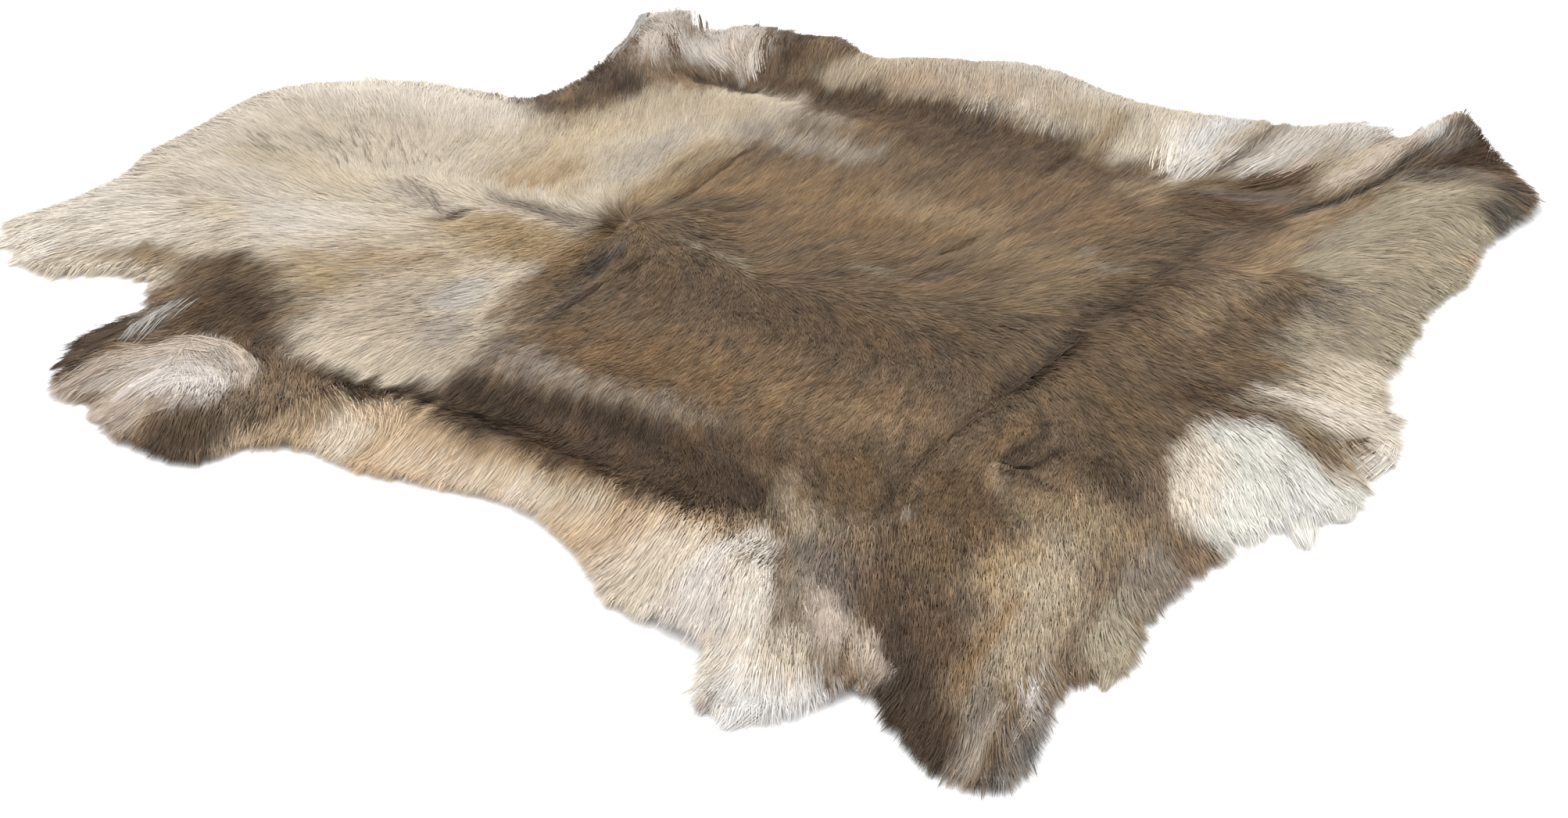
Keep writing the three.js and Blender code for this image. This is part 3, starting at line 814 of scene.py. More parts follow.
    ("dark brown", 0.95, 5, [(408, -6, 10), (422, 2, 14), (430, 14, 4)]),
    ("golden tan", 0.6, 6, [(414, -44, 6), (434, -62, 10)]),
    ("oat", 0.9, 12, [(326, 58, 16), (360, 48, 24), (395, 30, 36), (420, 34, 30)]),
    ("beige", 0.8, 14, [(350, 125, 26), (352, 75, 26)]),
    ("cream tan", 0.9, 14, [(385, 130, 40), (392, 80, 30)]),
    ("cream tan", 0.8, 8, [(310, -24, 12), (318, -78, 18), (334, -130, 18), (352, -172, 16)]),
    ("cream tan", 0.65, 14, [(332, -60, 24), (344, -110, 32), (368, -168, 28)]),
    ("cool white", 0.7, 14, [(430, -100, 40), (440, -150, 40)]),
    # left hind leg and loin
    # painted shade: the dark and slate lines from here down lie in the loin fold
    ("dark", 0.75, 12, [(166, 310, 10), (161, 230, 10), (154, 170, 14), (144, 110, 14)]),
    ("dark", 0.6, 14, [(140, 104, 16), (143, 50, 22), (144, 0, 22), (142, -50, 18), (142, -76, 10)]),
    ("slate", 0.5, 8, [(138, 90, 8), (142, 40, 12), (143, 0, 12), (142, -44, 10)]),
    ("dark", 0.7, 12, [(144, -60, 12), (140, -160, 12), (140, -230, 14), (141, -284, 12)]),
    ("golden", 0.6, 14, [(180, -88, 20), (182, -158, 22)]),
    # painted shade: this dark line lies in the rump tuck
    ("dark", 0.8, 6, [(199, -100, 8), (198, -160, 9)]),
    ("dark", 0.75, 6, [(224, -102, 8), (223, -150, 9)]),
    # painted shade: the black and dark lines below lie in the rump wrinkle
    ("black", 0.8, 4, [(190, -162, 5), (212, -161, 6), (218, -158, 4)]),
    ("dark", 0.6, 4, [(218, -158, 3), (248, -175, 3)]),
    ("light golden", 0.8, 8, [(196, -170, 10), (204, -186, 16), (212, -198, 14)]),
    ("dark", 0.75, 22, [(262, -130, 34), (298, -158, 46)]),
    ("olive", 0.9, 26, [(250, -215, 50), (300, -225, 60)]),
    ("sand", 0.7, 34, [(290, -260, 40), (312, -330, 64), (324, -390, 60), (330, -430, 50)]),
    ("greige", 0.4, 20, [(300, -320, 30), (330, -340, 40)]),
    ("tan", 0.5, 20, [(270, -280, 30), (275, -340, 30)]),
    ("golden", 0.8, 9, [(300, -352, 12), (302, -400, 14), (306, -446, 12)]),
    ("grey brown", 0.9, 18, [(352, -232, 24), (376, -262, 50), (384, -300, 44)]),
    ("golden", 0.6, 8, [(386, -232, 12), (392, -254, 12)]),
    ("greige", 0.9, 14, [(378, -326, 34), (386, -390, 38)]),
    ("greige", 0.4, 22, [(90, -300, 24), (120, -325, 30)]),
    ("bluish white", 0.7, 4, [(166, -262, 3), (170, -274, 4)]),
    ("blue grey", 0.85, 22, [(122, -352, 26), (165, -375, 56), (215, -410, 50)]),
    ("dark brown", 0.9, 22, [(196, -364, 50), (236, -404, 80), (262, -446, 80)]),
    ("dark", 0.7, 20, [(220, -405, 34), (260, -440, 40)]),
    ("dark", 0.95, 16, [(268, -470, 50), (300, -520, 60), (345, -565, 50)]),
    ("grey brown", 0.9, 9, [(330, -460, 18), (348, -510, 22), (368, -568, 20)]),
    ("blue grey", 0.9, 9, [(380, -462, 16), (388, -520, 20), (396, -575, 16)]),
    ("steel", 0.5, 9, [(378, -480, 12), (388, -530, 14)]),
    ("slate", 0.7, 8, [(386, -510, 14), (392, -545, 18), (396, -578, 14)]),
    ("silver", 0.7, 6, [(354, -486, 8), (362, -530, 10), (374, -572, 8)]),
    ("steel", 0.6, 6, [(396, -480, 6), (400, -570, 8)]),
    ("cool white", 0.75, 6, [(364, -432, 8), (366, -466, 9)]),
    # white flank below the thigh
    ("cream", 0.9, 22, [(70, -372, 30), (80, -430, 60), (90, -500, 70)]),
    ("white", 0.7, 16, [(84, -364, 16), (120, -400, 40), (140, -460, 60), (165, -540, 60)]),
    ("brown", 0.9, 10, [(118, -370, 12), (140, -402, 22), (160, -444, 32), (182, -500, 20)]),
    ("grey brown", 0.6, 12, [(150, -398, 20), (176, -436, 20), (196, -480, 14)]),
    ("mushroom", 0.8, 12, [(166, -404, 12), (190, -430, 28), (212, -460, 28)]),
    ("mushroom", 0.85, 10, [(226, -456, 14), (244, -474, 22), (258, -490, 14)]),
    ("cream tan", 0.8, 14, [(180, -480, 36), (200, -520, 50), (205, -560, 44)]),
    ("cool white", 0.85, 16, [(178, -545, 30), (205, -580, 70), (240, -540, 40)]),
    # left foreleg
    ("dark brown", 0.9, 22, [(-566, -154, 24), (-546, -190, 74), (-490, -250, 90), (-450, -285, 60)]),
    ("brown", 0.7, 26, [(-586, -178, 34), (-566, -205, 40), (-530, -186, 30)]),
    ("tan", 0.7, 30, [(-530, -116, 24), (-500, -126, 44), (-464, -150, 50)]),
    ("golden tan", 0.5, 44, [(-500, -84, 40), (-446, -96, 56), (-404, -64, 40)]),
    ("brown", 0.7, 30, [(-524, -158, 24), (-490, -182, 44), (-452, -212, 44)]),
    ("dark", 0.6, 26, [(-535, -200, 24), (-487, -226, 34), (-470, -250, 20)]),
    ("dark brown", 0.95, 12, [(-450, -302, 24), (-395, -304, 24), (-345, -300, 24)]),
    ("steel", 0.4, 14, [(-552, -266, 20), (-540, -316, 20)]),
    ("mushroom", 0.95, 12, [(-518, -330, 20), (-518, -365, 40), (-520, -400, 44), (-532, -438, 34)]),
    ("light silver", 0.95, 12, [(-500, -318, 20), (-455, -318, 24), (-420, -335, 20)]),
    ("ash white", 0.95, 14, [(-488, -350, 24), (-465, -362, 60), (-432, -362, 48)]),
    ("mushroom", 0.9, 5, [(-500, -301, 8), (-460, -299, 12), (-430, -315, 12), (-402, -345, 10)]),
    ("mushroom", 0.9, 14, [(-488, -392, 30), (-470, -420, 44), (-455, -450, 40)]),
    ("dark", 0.95, 8, [(-572, -290, 20), (-566, -340, 40), (-566, -372, 34), (-560, -396, 14)]),
    ("black", 0.5, 10, [(-568, -330, 26), (-562, -384, 22)]),
    ("brown", 0.9, 12, [(-392, -336, 20), (-380, -362, 42), (-378, -385, 42)]),
    ("dark", 0.8, 14, [(-412, -405, 40), (-395, -440, 64), (-380, -470, 60)]),
    # painted shade: this black line lies in the leg notch
    ("black", 0.9, 6, [(-346, -374, 9), (-345, -424, 13)]),
    ("light golden", 0.9, 12, [(-322, -340, 30), (-318, -380, 34), (-318, -415, 34)]),
    # left belly
    # the flank's own dark band, deepened by painted shadow: the dark and black lines darken the trough under
    # the body's edge
    ("dark", 0.95, 10, [(-345, -299, 22), (-300, -297, 26), (-256, -292, 18)]),
    ("black", 0.6, 20, [(-258, -296, 16), (-235, -300, 36), (-190, -306, 46), (-145, -300, 46),
                        (-110, -296, 26)]),
    ("dark brown", 0.95, 26, [(-130, -304, 66), (-85, -308, 66), (-40, -314, 52)]),
    ("golden", 0.6, 26, [(-250, -318, 8), (-190, -338, 20), (-110, -350, 26), (-60, -360, 40)]),
    ("golden", 0.4, 30, [(-170, -336, 16), (-90, -348, 20), (0, -354, 20), (60, -356, 14)]),
    ("golden", 0.6, 16, [(-50, -362, 24), (-26, -366, 20)]),
    ("cream tan", 0.8, 14, [(-296, -352, 20), (-280, -380, 36), (-272, -405, 36)]),
    # painted shade: this tan line lies in the crease between the lobes
    ("tan", 0.7, 6, [(-257, -300, 5), (-252, -350, 6), (-248, -404, 5)]),
    ("cream tan", 0.6, 18, [(-215, -390, 30), (-150, -400, 40)]),
    ("straw", 0.6, 18, [(-130, -370, 50), (-60, -376, 60)]),
    ("cream", 0.5, 14, [(-110, -390, 30), (-55, -390, 30)]),
    ("orange", 0.45, 14, [(-6, -372, 24), (-2, -415, 26)]),
    ("oat", 0.55, 26, [(14, -385, 24), (26, -430, 50), (32, -470, 50)]),
    ("ash white", 0.7, 20, [(62, -372, 16), (78, -430, 40), (100, -480, 60)]),
    ("cream tan", 0.85, 16, [(38, -370, 24), (46, -420, 40), (52, -480, 50)]),
    # right foreleg
    ("dark brown", 0.9, 22, [(-562, 288, 20), (-515, 282, 44), (-478, 298, 34)]),
    ("dark", 0.6, 16, [(-540, 345, 30), (-505, 345, 70), (-470, 350, 50)]),
    ("dark", 0.75, 16, [(-528, 395, 30), (-502, 375, 56), (-475, 355, 40)]),
    ("brown", 0.6, 16, [(-525, 330, 30), (-520, 300, 30)]),
    ("grey brown", 0.9, 10, [(-536, 440, 10), (-500, 440, 22), (-470, 425, 18)]),
    # painted shadow: this black line lies in the valley between the body and the far belly strip
    ("black", 0.75, 8, [(-455, 416, 16), (-400, 414, 18), (-350, 410, 16)]),
    ("bluish white", 0.95, 12, [(-505, 448, 20), (-520, 490, 36), (-532, 552, 40)]),
    ("light silver", 0.95, 14, [(-482, 462, 16), (-440, 466, 60), (-415, 500, 60), (-425, 550, 60)]),
    ("bluish white", 0.9, 14, [(-470, 470, 20), (-450, 500, 44), (-455, 545, 44)]),
    ("ash white", 0.85, 10, [(-462, 446, 16), (-436, 460, 26), (-400, 470, 16)]),
    ("golden", 0.6, 5, [(-436, 468, 7), (-434, 500, 8)]),
    ("light silver", 0.8, 5, [(-425, 500, 8), (-400, 460, 8), (-378, 428, 8)]),
    ("grey brown", 0.85, 6, [(-462, 424, 8), (-492, 470, 10), (-520, 530, 10), (-534, 566, 6)]),
    ("dark", 0.7, 3, [(-468, 428, 4), (-496, 470, 5), (-526, 540, 5)]),
    ("dark brown", 0.85, 14, [(-390, 585, 60), (-382, 530, 48), (-368, 480, 36), (-360, 440, 30)]),
    ("dark", 0.35, 10, [(-392, 575, 22), (-380, 520, 22), (-366, 470, 18)]),
    ("brown", 0.9, 12, [(-335, 490, 30), (-334, 540, 34), (-340, 590, 34)]),
    ("sand", 0.9, 12, [(-300, 470, 30), (-300, 520, 36), (-300, 560, 36)]),
    ("light silver", 0.95, 12, [(-498, 434, 24), (-508, 480, 46), (-526, 530, 36)]),
]


borders = {"swell": 8, "swellSize": 45, "ripple": 4, "rippleSize": 15, "alongHair": 5, "mix": 0.5}
shades = {"swell": 0.05, "swellSize": 60, "fine": 0.15, "mid": 0.08, "broad": 0.045,
          "paleFine": 0.095, "paleCalm": 0.55, "warmth": (0.03, 0.01, -0.03), "darkest": 0.4}


# pick is each hair's own chance, so a soft border is a mix of whole hairs of both coats
def coatColours(x, y, pick):
    z = sampleMap(furTop, x, y)
    fine, mid, broad, edge = (sampleMap(combed[name], x, y, fineCell) for name in streaks)
    lx, ly = sampleMap(lieX, x, y), sampleMap(lieY, x, y)
    x, y = x + slant[0] * z, y + slant[1] * z

    def wander(seed):
        swell = borders["swell"] * softNoise(x, y, borders["swellSize"], seed)
        return swell, borders["ripple"] * softNoise(x, y, borders["rippleSize"], seed + 1)

    # the borders wander, most of all along the hair
    swell, ripple = wander(11)
    wanderX = x + swell + ripple + borders["alongHair"] * edge * lx
    swell, ripple = wander(13)
    wanderY = y + swell + ripple + borders["alongHair"] * edge * ly
    colours = np.tile(np.array(linear(coats["brown"])), (len(x), 1))

    def lay(coat, cover, soft, deep, near):
        share = cover * ease(deep / soft + 0.5)
        share = np.clip(share + (share > 0) * (share < 1) * (pick[near] - 0.5) * borders["mix"], 0, 1)
        colours[near] += share[:, None] * (np.array(linear(coats[coat])) - colours[near])

    for coat, soft, outline in fields:
        near = np.ones(len(x), dtype=bool)
        lay(coat, 1.0, soft, insideOf(wanderX, wanderY, outline), near)
    for coat, cover, soft, line in markings:
        reach = max(w for _, _, w in line) / 2 + 1.3 * soft
        xs, ys = [p[0] for p in line], [p[1] for p in line]
        near = ((wanderX > min(xs) - reach) & (wanderX < max(xs) + reach)
                & (wanderY > min(ys) - reach) & (wanderY < max(ys) + reach))
        far, width = nearLine(wanderX[near], wanderY[near], line)
        lay(coat, cover, 1.3 * soft, width / 2 - far, near)
    # shade drifts in streaks, and the sunned streaks of a dark coat are the golden ones
    pale = ease(colours[:, 1] / 0.5)
    drift = 1 + shades["swell"] * softNoise(x, y, shades["swellSize"], 15)
    drift = drift + (shades["fine"] - shades["paleFine"] * pale) * fine
    drift += (shades["mid"] * mid + shades["broad"] * broad) * (1 - shades["paleCalm"] * pale)
    warm = (1 - pale) * (0.4 * mid + 0.8 * broad + 0.6 * softNoise(x, y, 33, 17))
    tint = np.stack([1 + part * warm for part in shades["warmth"]], 1)
    return colours * np.maximum(drift, shades["darkest"])[:, None] * tint


# hollow keratin hair: dull, slightly silky, its colour runs with the markings
furHair, shader = newMaterial("hollow guard hair")
addNode(furHair, "ShaderNodeAttribute", {"attribute_name": "furColour"},
        into={"Color": shader.inputs["Base Color"]})
shader.inputs["Roughness"].default_value = 0.6
shader.inputs["IOR"].default_value = 1.45
shader.inputs["Specular IOR Level"].default_value = 0.05

# matted woolly underfur: takes hardly any shine
underWool, shader = newMaterial("matted underfur")
addNode(underWool, "ShaderNodeAttribute", {"attribute_name": "furColour"},
        into={"Color": shader.inputs["Base Color"]})
shader.inputs["Roughness"].default_value = 0.95
shader.inputs["Specular IOR Level"].default_value = 0.1

# alum tanned flesh side: pale, chalky, faintly mottled
tannedSkin, shader = newMaterial("tanned flesh side")
coords = addNode(tannedSkin, "ShaderNodeTexCoord")
mottle = addNode(tannedSkin, "ShaderNodeTexNoise", {"Scale": 14.0, "Detail": 4.0},
                 feeds={"Vector": coords.outputs["Object"]})
tone = addNode(tannedSkin, "ShaderNodeValToRGB", feeds={"Fac": mottle.outputs["Fac"]},
               into={"Color": shader.inputs["Base Color"]})
tone.color_ramp.elements[0].position = 0.35
tone.color_ramp.elements[0].color = linear("#cdbfa6") + (1,)
tone.color_ramp.elements[1].position = 0.7
tone.color_ramp.elements[1].color = linear("#e0d6c2") + (1,)
grain = addNode(tannedSkin, "ShaderNodeTexNoise", {"Scale": 420.0, "Detail": 3.0},
                feeds={"Vector": coords.outputs["Object"]})
addNode(tannedSkin, "ShaderNodeBump", {"Strength": 0.25, "Distance": 0.0006},
        feeds={"Height": grain.outputs["Fac"]}, into={"Normal": shader.inputs["Normal"]})
shader.inputs["Roughness"].default_value = 0.8

# matt white paper sweep
paper, shader = newMaterial("white paper sweep")
shader.inputs["Base Color"].default_value = linear("#f4f4f4") + (1,)
shader.inputs["Roughness"].default_value = 0.9
print("materials made")


# a closed shell over the hide's plan, inset from the cut edge
def makeShell(name, spacing, inset, upper, lower, material):
    px, py = planGrid(spacing, shellMargin, -shellMargin)
    deep = sampleMap(inward, px, py)
    corners = deep > inset
    quads = corners[:-1, :-1] & corners[1:, :-1] & corners[:-1, 1:] & corners[1:, 1:]
    used = np.zeros(px.shape, dtype=bool)
    whole = np.zeros(px.shape, dtype=int)
    for dj, di in ((0, 0), (0, 1), (1, 0), (1, 1)):
        used[dj:quads.shape[0] + dj, di:quads.shape[1] + di] |= quads
        whole[dj:quads.shape[0] + dj, di:quads.shape[1] + di] += quads
    # the outermost corners slide out onto the inset line
    slide = np.where(used & (whole < 4), deep - inset, 0)
    slide = np.minimum(slide, spacing * 0.9)
    px = px + slide * sampleMap(outX, px, py)
    py = py + slide * sampleMap(outY, px, py)
    index = np.full(px.shape, -1)
    index[used] = np.arange(used.sum())
    x, y = px[used], py[used]
    count = len(x)
    fx, fy = toFrame(x, y)
    zTop, zLow = upper(x, y) / 1000, lower(x, y) / 1000
    places = np.concatenate([np.stack([fx, fy, zTop], 1), np.stack([fx, fy, zLow], 1)])
    j, i = np.nonzero(quads)
    a, b, c, d = index[j, i], index[j, i + 1], index[j + 1, i + 1], index[j + 1, i]
    faces = [np.stack([a, b, c, d], 1), np.stack([d, c, b, a], 1) + count]
    # walls where a cell has no neighbour
    ring = np.pad(quads, 1)
    sides = [
        (ring[j, i + 1], a, b),
        (ring[j + 1, i + 2], b, c),
        (ring[j + 2, i + 1], c, d),
        (ring[j + 1, i], d, a),
    ]
    for beyond, p, q in sides:
        p, q = p[~beyond], q[~beyond]
        faces.append(np.stack([p, p + count, q + count, q], 1))
    faces = np.concatenate(faces)
    piece = addMesh(name, places, faces, np.arange(0, faces.size, faces.shape[1]), material)
    return piece, x, y


# loops holds every face's corners in turn, starts says where each face's own begin
def addMesh(name, places, loops, starts, material):
    mesh = bpy.data.meshes.new(name)
    mesh.vertices.add(len(places))
    mesh.vertices.foreach_set("co", places.astype(np.float32).ravel())
    mesh.loops.add(loops.size)
    mesh.loops.foreach_set("vertex_index", loops.astype(np.int32).ravel())
    mesh.polygons.add(starts.size)
    mesh.polygons.foreach_set("loop_start", starts.astype(np.int32).ravel())
    mesh.polygons.foreach_set("use_smooth", np.ones(starts.size, dtype=bool))
    mesh.update(calc_edges=True)
    mesh.materials.append(material)
    piece = bpy.data.objects.new(name, mesh)
    bpy.context.collection.objects.link(piece)
    return piece


def paintPoints(mesh, colours):
    rgba = np.ones((len(mesh.vertices), 4), dtype=np.float32)
    rgba[:, :3] = np.clip(colours, 0, 1)
    layer = mesh.color_attributes.new("furColour", "FLOAT_COLOR", "POINT")
    layer.data.foreach_set("color", rgba.ravel())


skin = {"spacing": 12, "inset": 11, "thickness": 1.6, "overFloor": 0.05}

skinPiece, _, _ = makeShell(
    "hide_skin", skin["spacing"], skin["inset"],
    lambda x, y: np.maximum(sampleMap(skinLow, x, y), 0) + skin["thickness"],
    lambda x, y: np.maximum(sampleMap(skinLow, x, y), skin["overFloor"]),
    tannedSkin)
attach(skinPiece, "root")
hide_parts("hide")
print("skin laid,", len(skinPiece.data.polygons), "faces")

# shade and paleShade: how much darker the underfur is painted, a painted shade under the hair
wool = {"spacing": 6, "inset": 9, "below": 2.2, "rim": 20, "least": 2.6, "shade": 0.8, "paleShade": 0.14}

woolPiece, woolX, woolY = makeShell(
    "underfur", wool["spacing"], wool["inset"],
    lambda x, y: np.maximum(
        sampleMap(furTop, x, y) - wool["below"] * ease(sampleMap(inward, x, y) / wool["rim"]),
        sampleMap(skinLow, x, y) + wool["least"]),
    lambda x, y: np.maximum(sampleMap(skinLow, x, y), 0) + skin["thickness"] + 0.1,
    underWool)
# painted shade: the underfur is coloured darker than the coat above it, as in the shade of the hair over it;
# pale coats a little less
woolColours = coatColours(woolX, woolY, np.full(len(woolX), 0.5))
woolColours *= (wool["shade"] + wool["paleShade"] * ease(woolColours[:, 1] / 0.5))[:, None]
paintPoints(woolPiece.data, np.concatenate([woolColours, woolColours]))
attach(woolPiece, "root")
print("underfur laid,", len(woolPiece.data.polygons), "faces")

shortHair = {
    "spacing": 1.36,
    "shortest": 0.0,  # grows everywhere
    "trim": 0.92,
    "rootDepth": 2.6,
    "width": 0.95,
    "steps": (0.78, 1.2),
    "ownTurn": 8,
}

longHair = {
    "spacing": 2.15,
    "shortest": 25.0,  # grows where the coat is longer than this, and along the cut edge
    "fadeIn": 5,
    "rim": 30,
    "trim": 1.1,
    "rootDepth": 3.4,
    "width": 1.0,
    "steps": (0.75, 1.02, 1.16),
    "ownTurn": 7,
}

rootInset = 5
locks = {"size": 7.0, "turn": 6, "gather": 0.14, "shaggy": 0.24, "shaggyFrom": 22, "shaggyOver": 16,
         "spiky": 0.4, "spikyRim": 16, "uneven": 0.3, "ownUneven": (-0.12, 0.2), "pastEdge": (-4, 3)}
lockDice = np.random.default_rng(77).uniform(0, 1, (256, 256, 6))


# the lock each hair belongs to: the nearest of a loose net of middles
def locksOf(x, y, size):
    i, j = np.floor(x / size).astype(int), np.floor(y / size).astype(int)
    best = np.full(len(x), 1e9)
    middle = np.zeros((len(x), 2))
    luck = np.zeros((len(x), 4))
    for di in (-1, 0, 1):
        for dj in (-1, 0, 1):
            row = lockDice[(i + di) % 256, (j + dj) % 256]
            mx = (i + di + row[:, 0]) * size
            my = (j + dj + row[:, 1]) * size
            far = (mx - x) ** 2 + (my - y) ** 2
            closer = far < best
            best = np.where(closer, far, best)
            middle[closer] = np.stack([mx, my], 1)[closer]
            luck[closer] = row[closer, 2:]
    return middle, luck


# how far the hair stands past the cut edge: usualPast, but for these places
usualPast = 5.0
fringe = [
    # x, y, past, reach
    (-535, 560, 22, 26),
    (-478, 520, 16, 22),
    (-455, 560, 9, 30),
    (-540, 400, 9, 30),
    (-775, -215, 15, 34),
    (-735, -240, 15, 34),
    (-640, -225, 9, 34),
    (-575, -250, 16, 26),
    (-570, -350, 10, 24),
    (-505, -425, 9, 24),
    (-350, -430, 8, 24),
    (95, -500, 9, 34),
    (160, -560, 10, 40),
    (195, -600, 17, 34),
    (236, -555, 12, 20),
    (258, -490, 1, 22),
    (345, -570, 9, 40),
    (398, -395, 17, 24),
    (385, -290, 7, 50),
    (400, -190, 15, 34),
    (455, -110, 11, 44),
    (446, 40, 11, 44),
    (408, 100, 8, 40),
    (262, 690, 12, 26),
    (220, 640, 9, 40),
    (150, 620, 8, 40),
    (60, 590, 8, 50),
    (-740, 225, 9, 34),
    (-640, 285, 9, 40),
    (-560, 290, 8, 34),
    (-250, 590, 8, 34),
    (405, 170, 9, 34),
]


def fringeAt(x, y):
    z = sampleMap(furTop, x, y)
    x, y = x + slant[0] * z, y + slant[1] * z
    past = np.full(np.shape(x), usualPast)
    for px, py, far, reach in fringe:
        past += (far - usualPast) * np.exp(-((x - px) ** 2 + (y - py) ** 2) / (2 * reach ** 2))
    return past


def plantRoots(sort):
    spacing = sort["spacing"]
    x, y = planGrid(spacing, hairMargin, -hairMargin)
    x = (x + dice.uniform(-0.5, 0.5, x.shape) * spacing).ravel()
    y = (y + dice.uniform(-0.5, 0.5, y.shape) * spacing).ravel()
    deep = sampleMap(inward, x, y)
    grows = deep > rootInset
    if sort["shortest"]:
        wanted = ease((sampleMap(hairLength, x, y) - sort["shortest"]) / sort["fadeIn"])
        wanted = np.maximum(wanted, ease(1 - deep / sort["rim"]))
        grows &= dice.uniform(0, 1, len(x)) < wanted
    return x[grows], y[grows]


def growHair(sort, x, y):
    count = len(x)
    middle, luck = locksOf(x, y, locks["size"])
    lx, ly = sampleMap(lieX, x, y), sampleMap(lieY, x, y)
    turn = np.radians((luck[:, 0] - 0.5) * 2 * locks["turn"] + dice.normal(0, sort["ownTurn"], count))
    heading = np.arctan2(ly, lx) + turn
    size = sampleMap(hairLength, x, y)
    shaggy = ease((size - locks["shaggyFrom"]) / locks["shaggyOver"])
    uneven = 0.75 + locks["uneven"] * luck[:, 1] + dice.uniform(*locks["ownUneven"], count)
    length = sort["trim"] * size * uneven
    # near the cut edge the locks end unevenly, a little way past it
    past = fringeAt(x, y) * (0.1 + 1.9 * luck[:, 1] ** 1.6) + dice.uniform(*locks["pastEdge"], count)
    for _ in range(3):
        tx, ty = x + np.cos(heading) * length, y + np.sin(heading) * length
        over = -sampleMap(inward, tx, ty) - past
        length = np.clip(length - np.maximum(over, 0), 6, None)
    mx = x + np.cos(heading) * length * 0.5
    my = y + np.sin(heading) * length * 0.5
    bend = np.arctan2(sampleMap(lieY, mx, my), sampleMap(lieX, mx, my)) + turn * 0.6
    tx = mx + np.cos(bend) * length * 0.5
    ty = my + np.sin(bend) * length * 0.5
    # tips gather on the lock's own line
    ax, ay = np.cos(heading), np.sin(heading)
    aside = (x - middle[:, 0]) * -ay + (y - middle[:, 1]) * ax
    rim = ease(1 - sampleMap(inward, tx, ty) / locks["spikyRim"])
    pull = locks["gather"] + locks["shaggy"] * shaggy + locks["spiky"] * rim
    pull *= 0.4 + 0.6 * luck[:, 2]
    mx += ay * aside * pull * 0.35
    my -= ax * aside * pull * 0.35
    tx += ay * aside * pull
    ty -= ax * aside * pull
    lift = sampleMap(hairLift, x, y)
    layer = dice.uniform(-1.0, 1.0, count)
    rise = lift * (0.4 + luck[:, 3]) * (0.5 + shaggy)
    deepest = 0.6 * (sampleMap(furTop, x, y) - sampleMap(skinLow, x, y))
    rootZ = sampleMap(furTop, x, y) - np.minimum(sort["rootDepth"], deepest) + layer * 0.3
    midZ = sampleMap(furTop, mx, my) + 0.3 + layer * 0.7 + rise * 0.6
    tipOut = np.maximum(-sampleMap(inward, tx, ty), 0)
    tipZ = sampleMap(furTop, tx, ty) - 0.3 + layer + rise - tipOut * 0.35
    floorZ = dice.uniform(0.4, 2.4, count)
    midZ, tipZ = np.maximum(midZ, floorZ), np.maximum(tipZ, floorZ)
    # flat blades, each rolled a little about its own length
    width = sort["width"] * dice.uniform(0.7, 1.3, count) * 0.5
    roll = np.radians(dice.normal(0, 15, count))
    side = np.stack([-ay * np.cos(roll) * width, ax * np.cos(roll) * width, np.sin(roll) * width], 1)
    root = np.stack([x, y, rootZ], 1)
    mid = np.stack([mx, my, midZ], 1)
    tip = np.stack([tx, ty, tipZ], 1)
    return root, mid, tip, side, luck


lampWay = Vector(studio["keyPlace"]).to_2d().normalized()
# the hair's own tones, and facing: a painted shade on hair that points at the soft box
toneAndShade = {"rootEnd": 0.25, "tipEnd": 0.9, "paleCalm": 0.6, "lock": 0.16, "own": 0.15, "facing": 0.08,
       "paleOnes": 0.06, "palerBy": 0.3, "darkOnes": 0.07, "darkerBy": 0.32}


# each hair takes the coat's shade at its root end and at its tip end
def hairColours(root, tip, luck, steps):
    count = len(root)
    x, y = root[:, 0], root[:, 1]
    dx, dy = tip[:, 0] - x, tip[:, 1] - y
    pick = 0.5 * luck[:, 1] + 0.5 * dice.uniform(0, 1, count)
    inner = coatColours(x + toneAndShade["rootEnd"] * dx, y + toneAndShade["rootEnd"] * dy, pick)
    outer = coatColours(x + toneAndShade["tipEnd"] * dx, y + toneAndShade["tipEnd"] * dy, pick)
    # pale hair lets light through, so its own shades differ less
    calm = 1 - toneAndShade["paleCalm"] * ease(outer[:, 1] / 0.5)
    # painted shade: hair that points at the soft box catches the most light, so its colour is painted a
    # little darker
    facing = sampleMap(lieX, x, y) * lampWay[0] + sampleMap(lieY, x, y) * lampWay[1]
    shade = toneAndShade["lock"] * (luck[:, 2] - 0.5) + dice.normal(0, toneAndShade["own"], count)
    odd = dice.uniform(0, 1, count)
    shade += toneAndShade["palerBy"] * (odd < toneAndShade["paleOnes"]) - toneAndShade["darkerBy"] * (odd > 1 - toneAndShade["darkOnes"])
    shade = (1 - toneAndShade["facing"] * facing) * (1 + calm * shade)
    share = np.linspace(0, 1, len(steps))
    rows = []
    for part, step in zip(share, steps):
        tone = (inner * (1 - part) + outer * part) * shade[:, None]
        rows.append(tone * (1 + (step - 1) * calm)[:, None])
    return rows


def hairMesh(name, places, colours, corners, starts, islands):
    count = len(places)
    fx, fy = toFrame(places[:, :, 0], places[:, :, 1])
    spots = np.stack([fx, fy, places[:, :, 2] / 1000], 2).reshape(-1, 3)
    order = np.arange(count)[:, None] * places.shape[1] + np.array([corners])
    begin = np.arange(count)[:, None] * len(corners) + np.array([starts])
    piece = addMesh(name, spots, order, begin, furHair)
    paintPoints(piece.data, colours.reshape(-1, 3))
    # one small island of the sheet for each hair
    across = int(math.ceil(math.sqrt(count)))
    col, row = np.arange(count) % across, np.arange(count) // across
    uv = (np.stack([col, row], 1)[:, None, :] + islands[None]) / across
    layer = piece.data.uv_layers.new(name="OFBake")
    layer.data.foreach_set("uv", uv.astype(np.float32).ravel())
    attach(piece, "root")
    print(name, count, "hairs")
    return piece


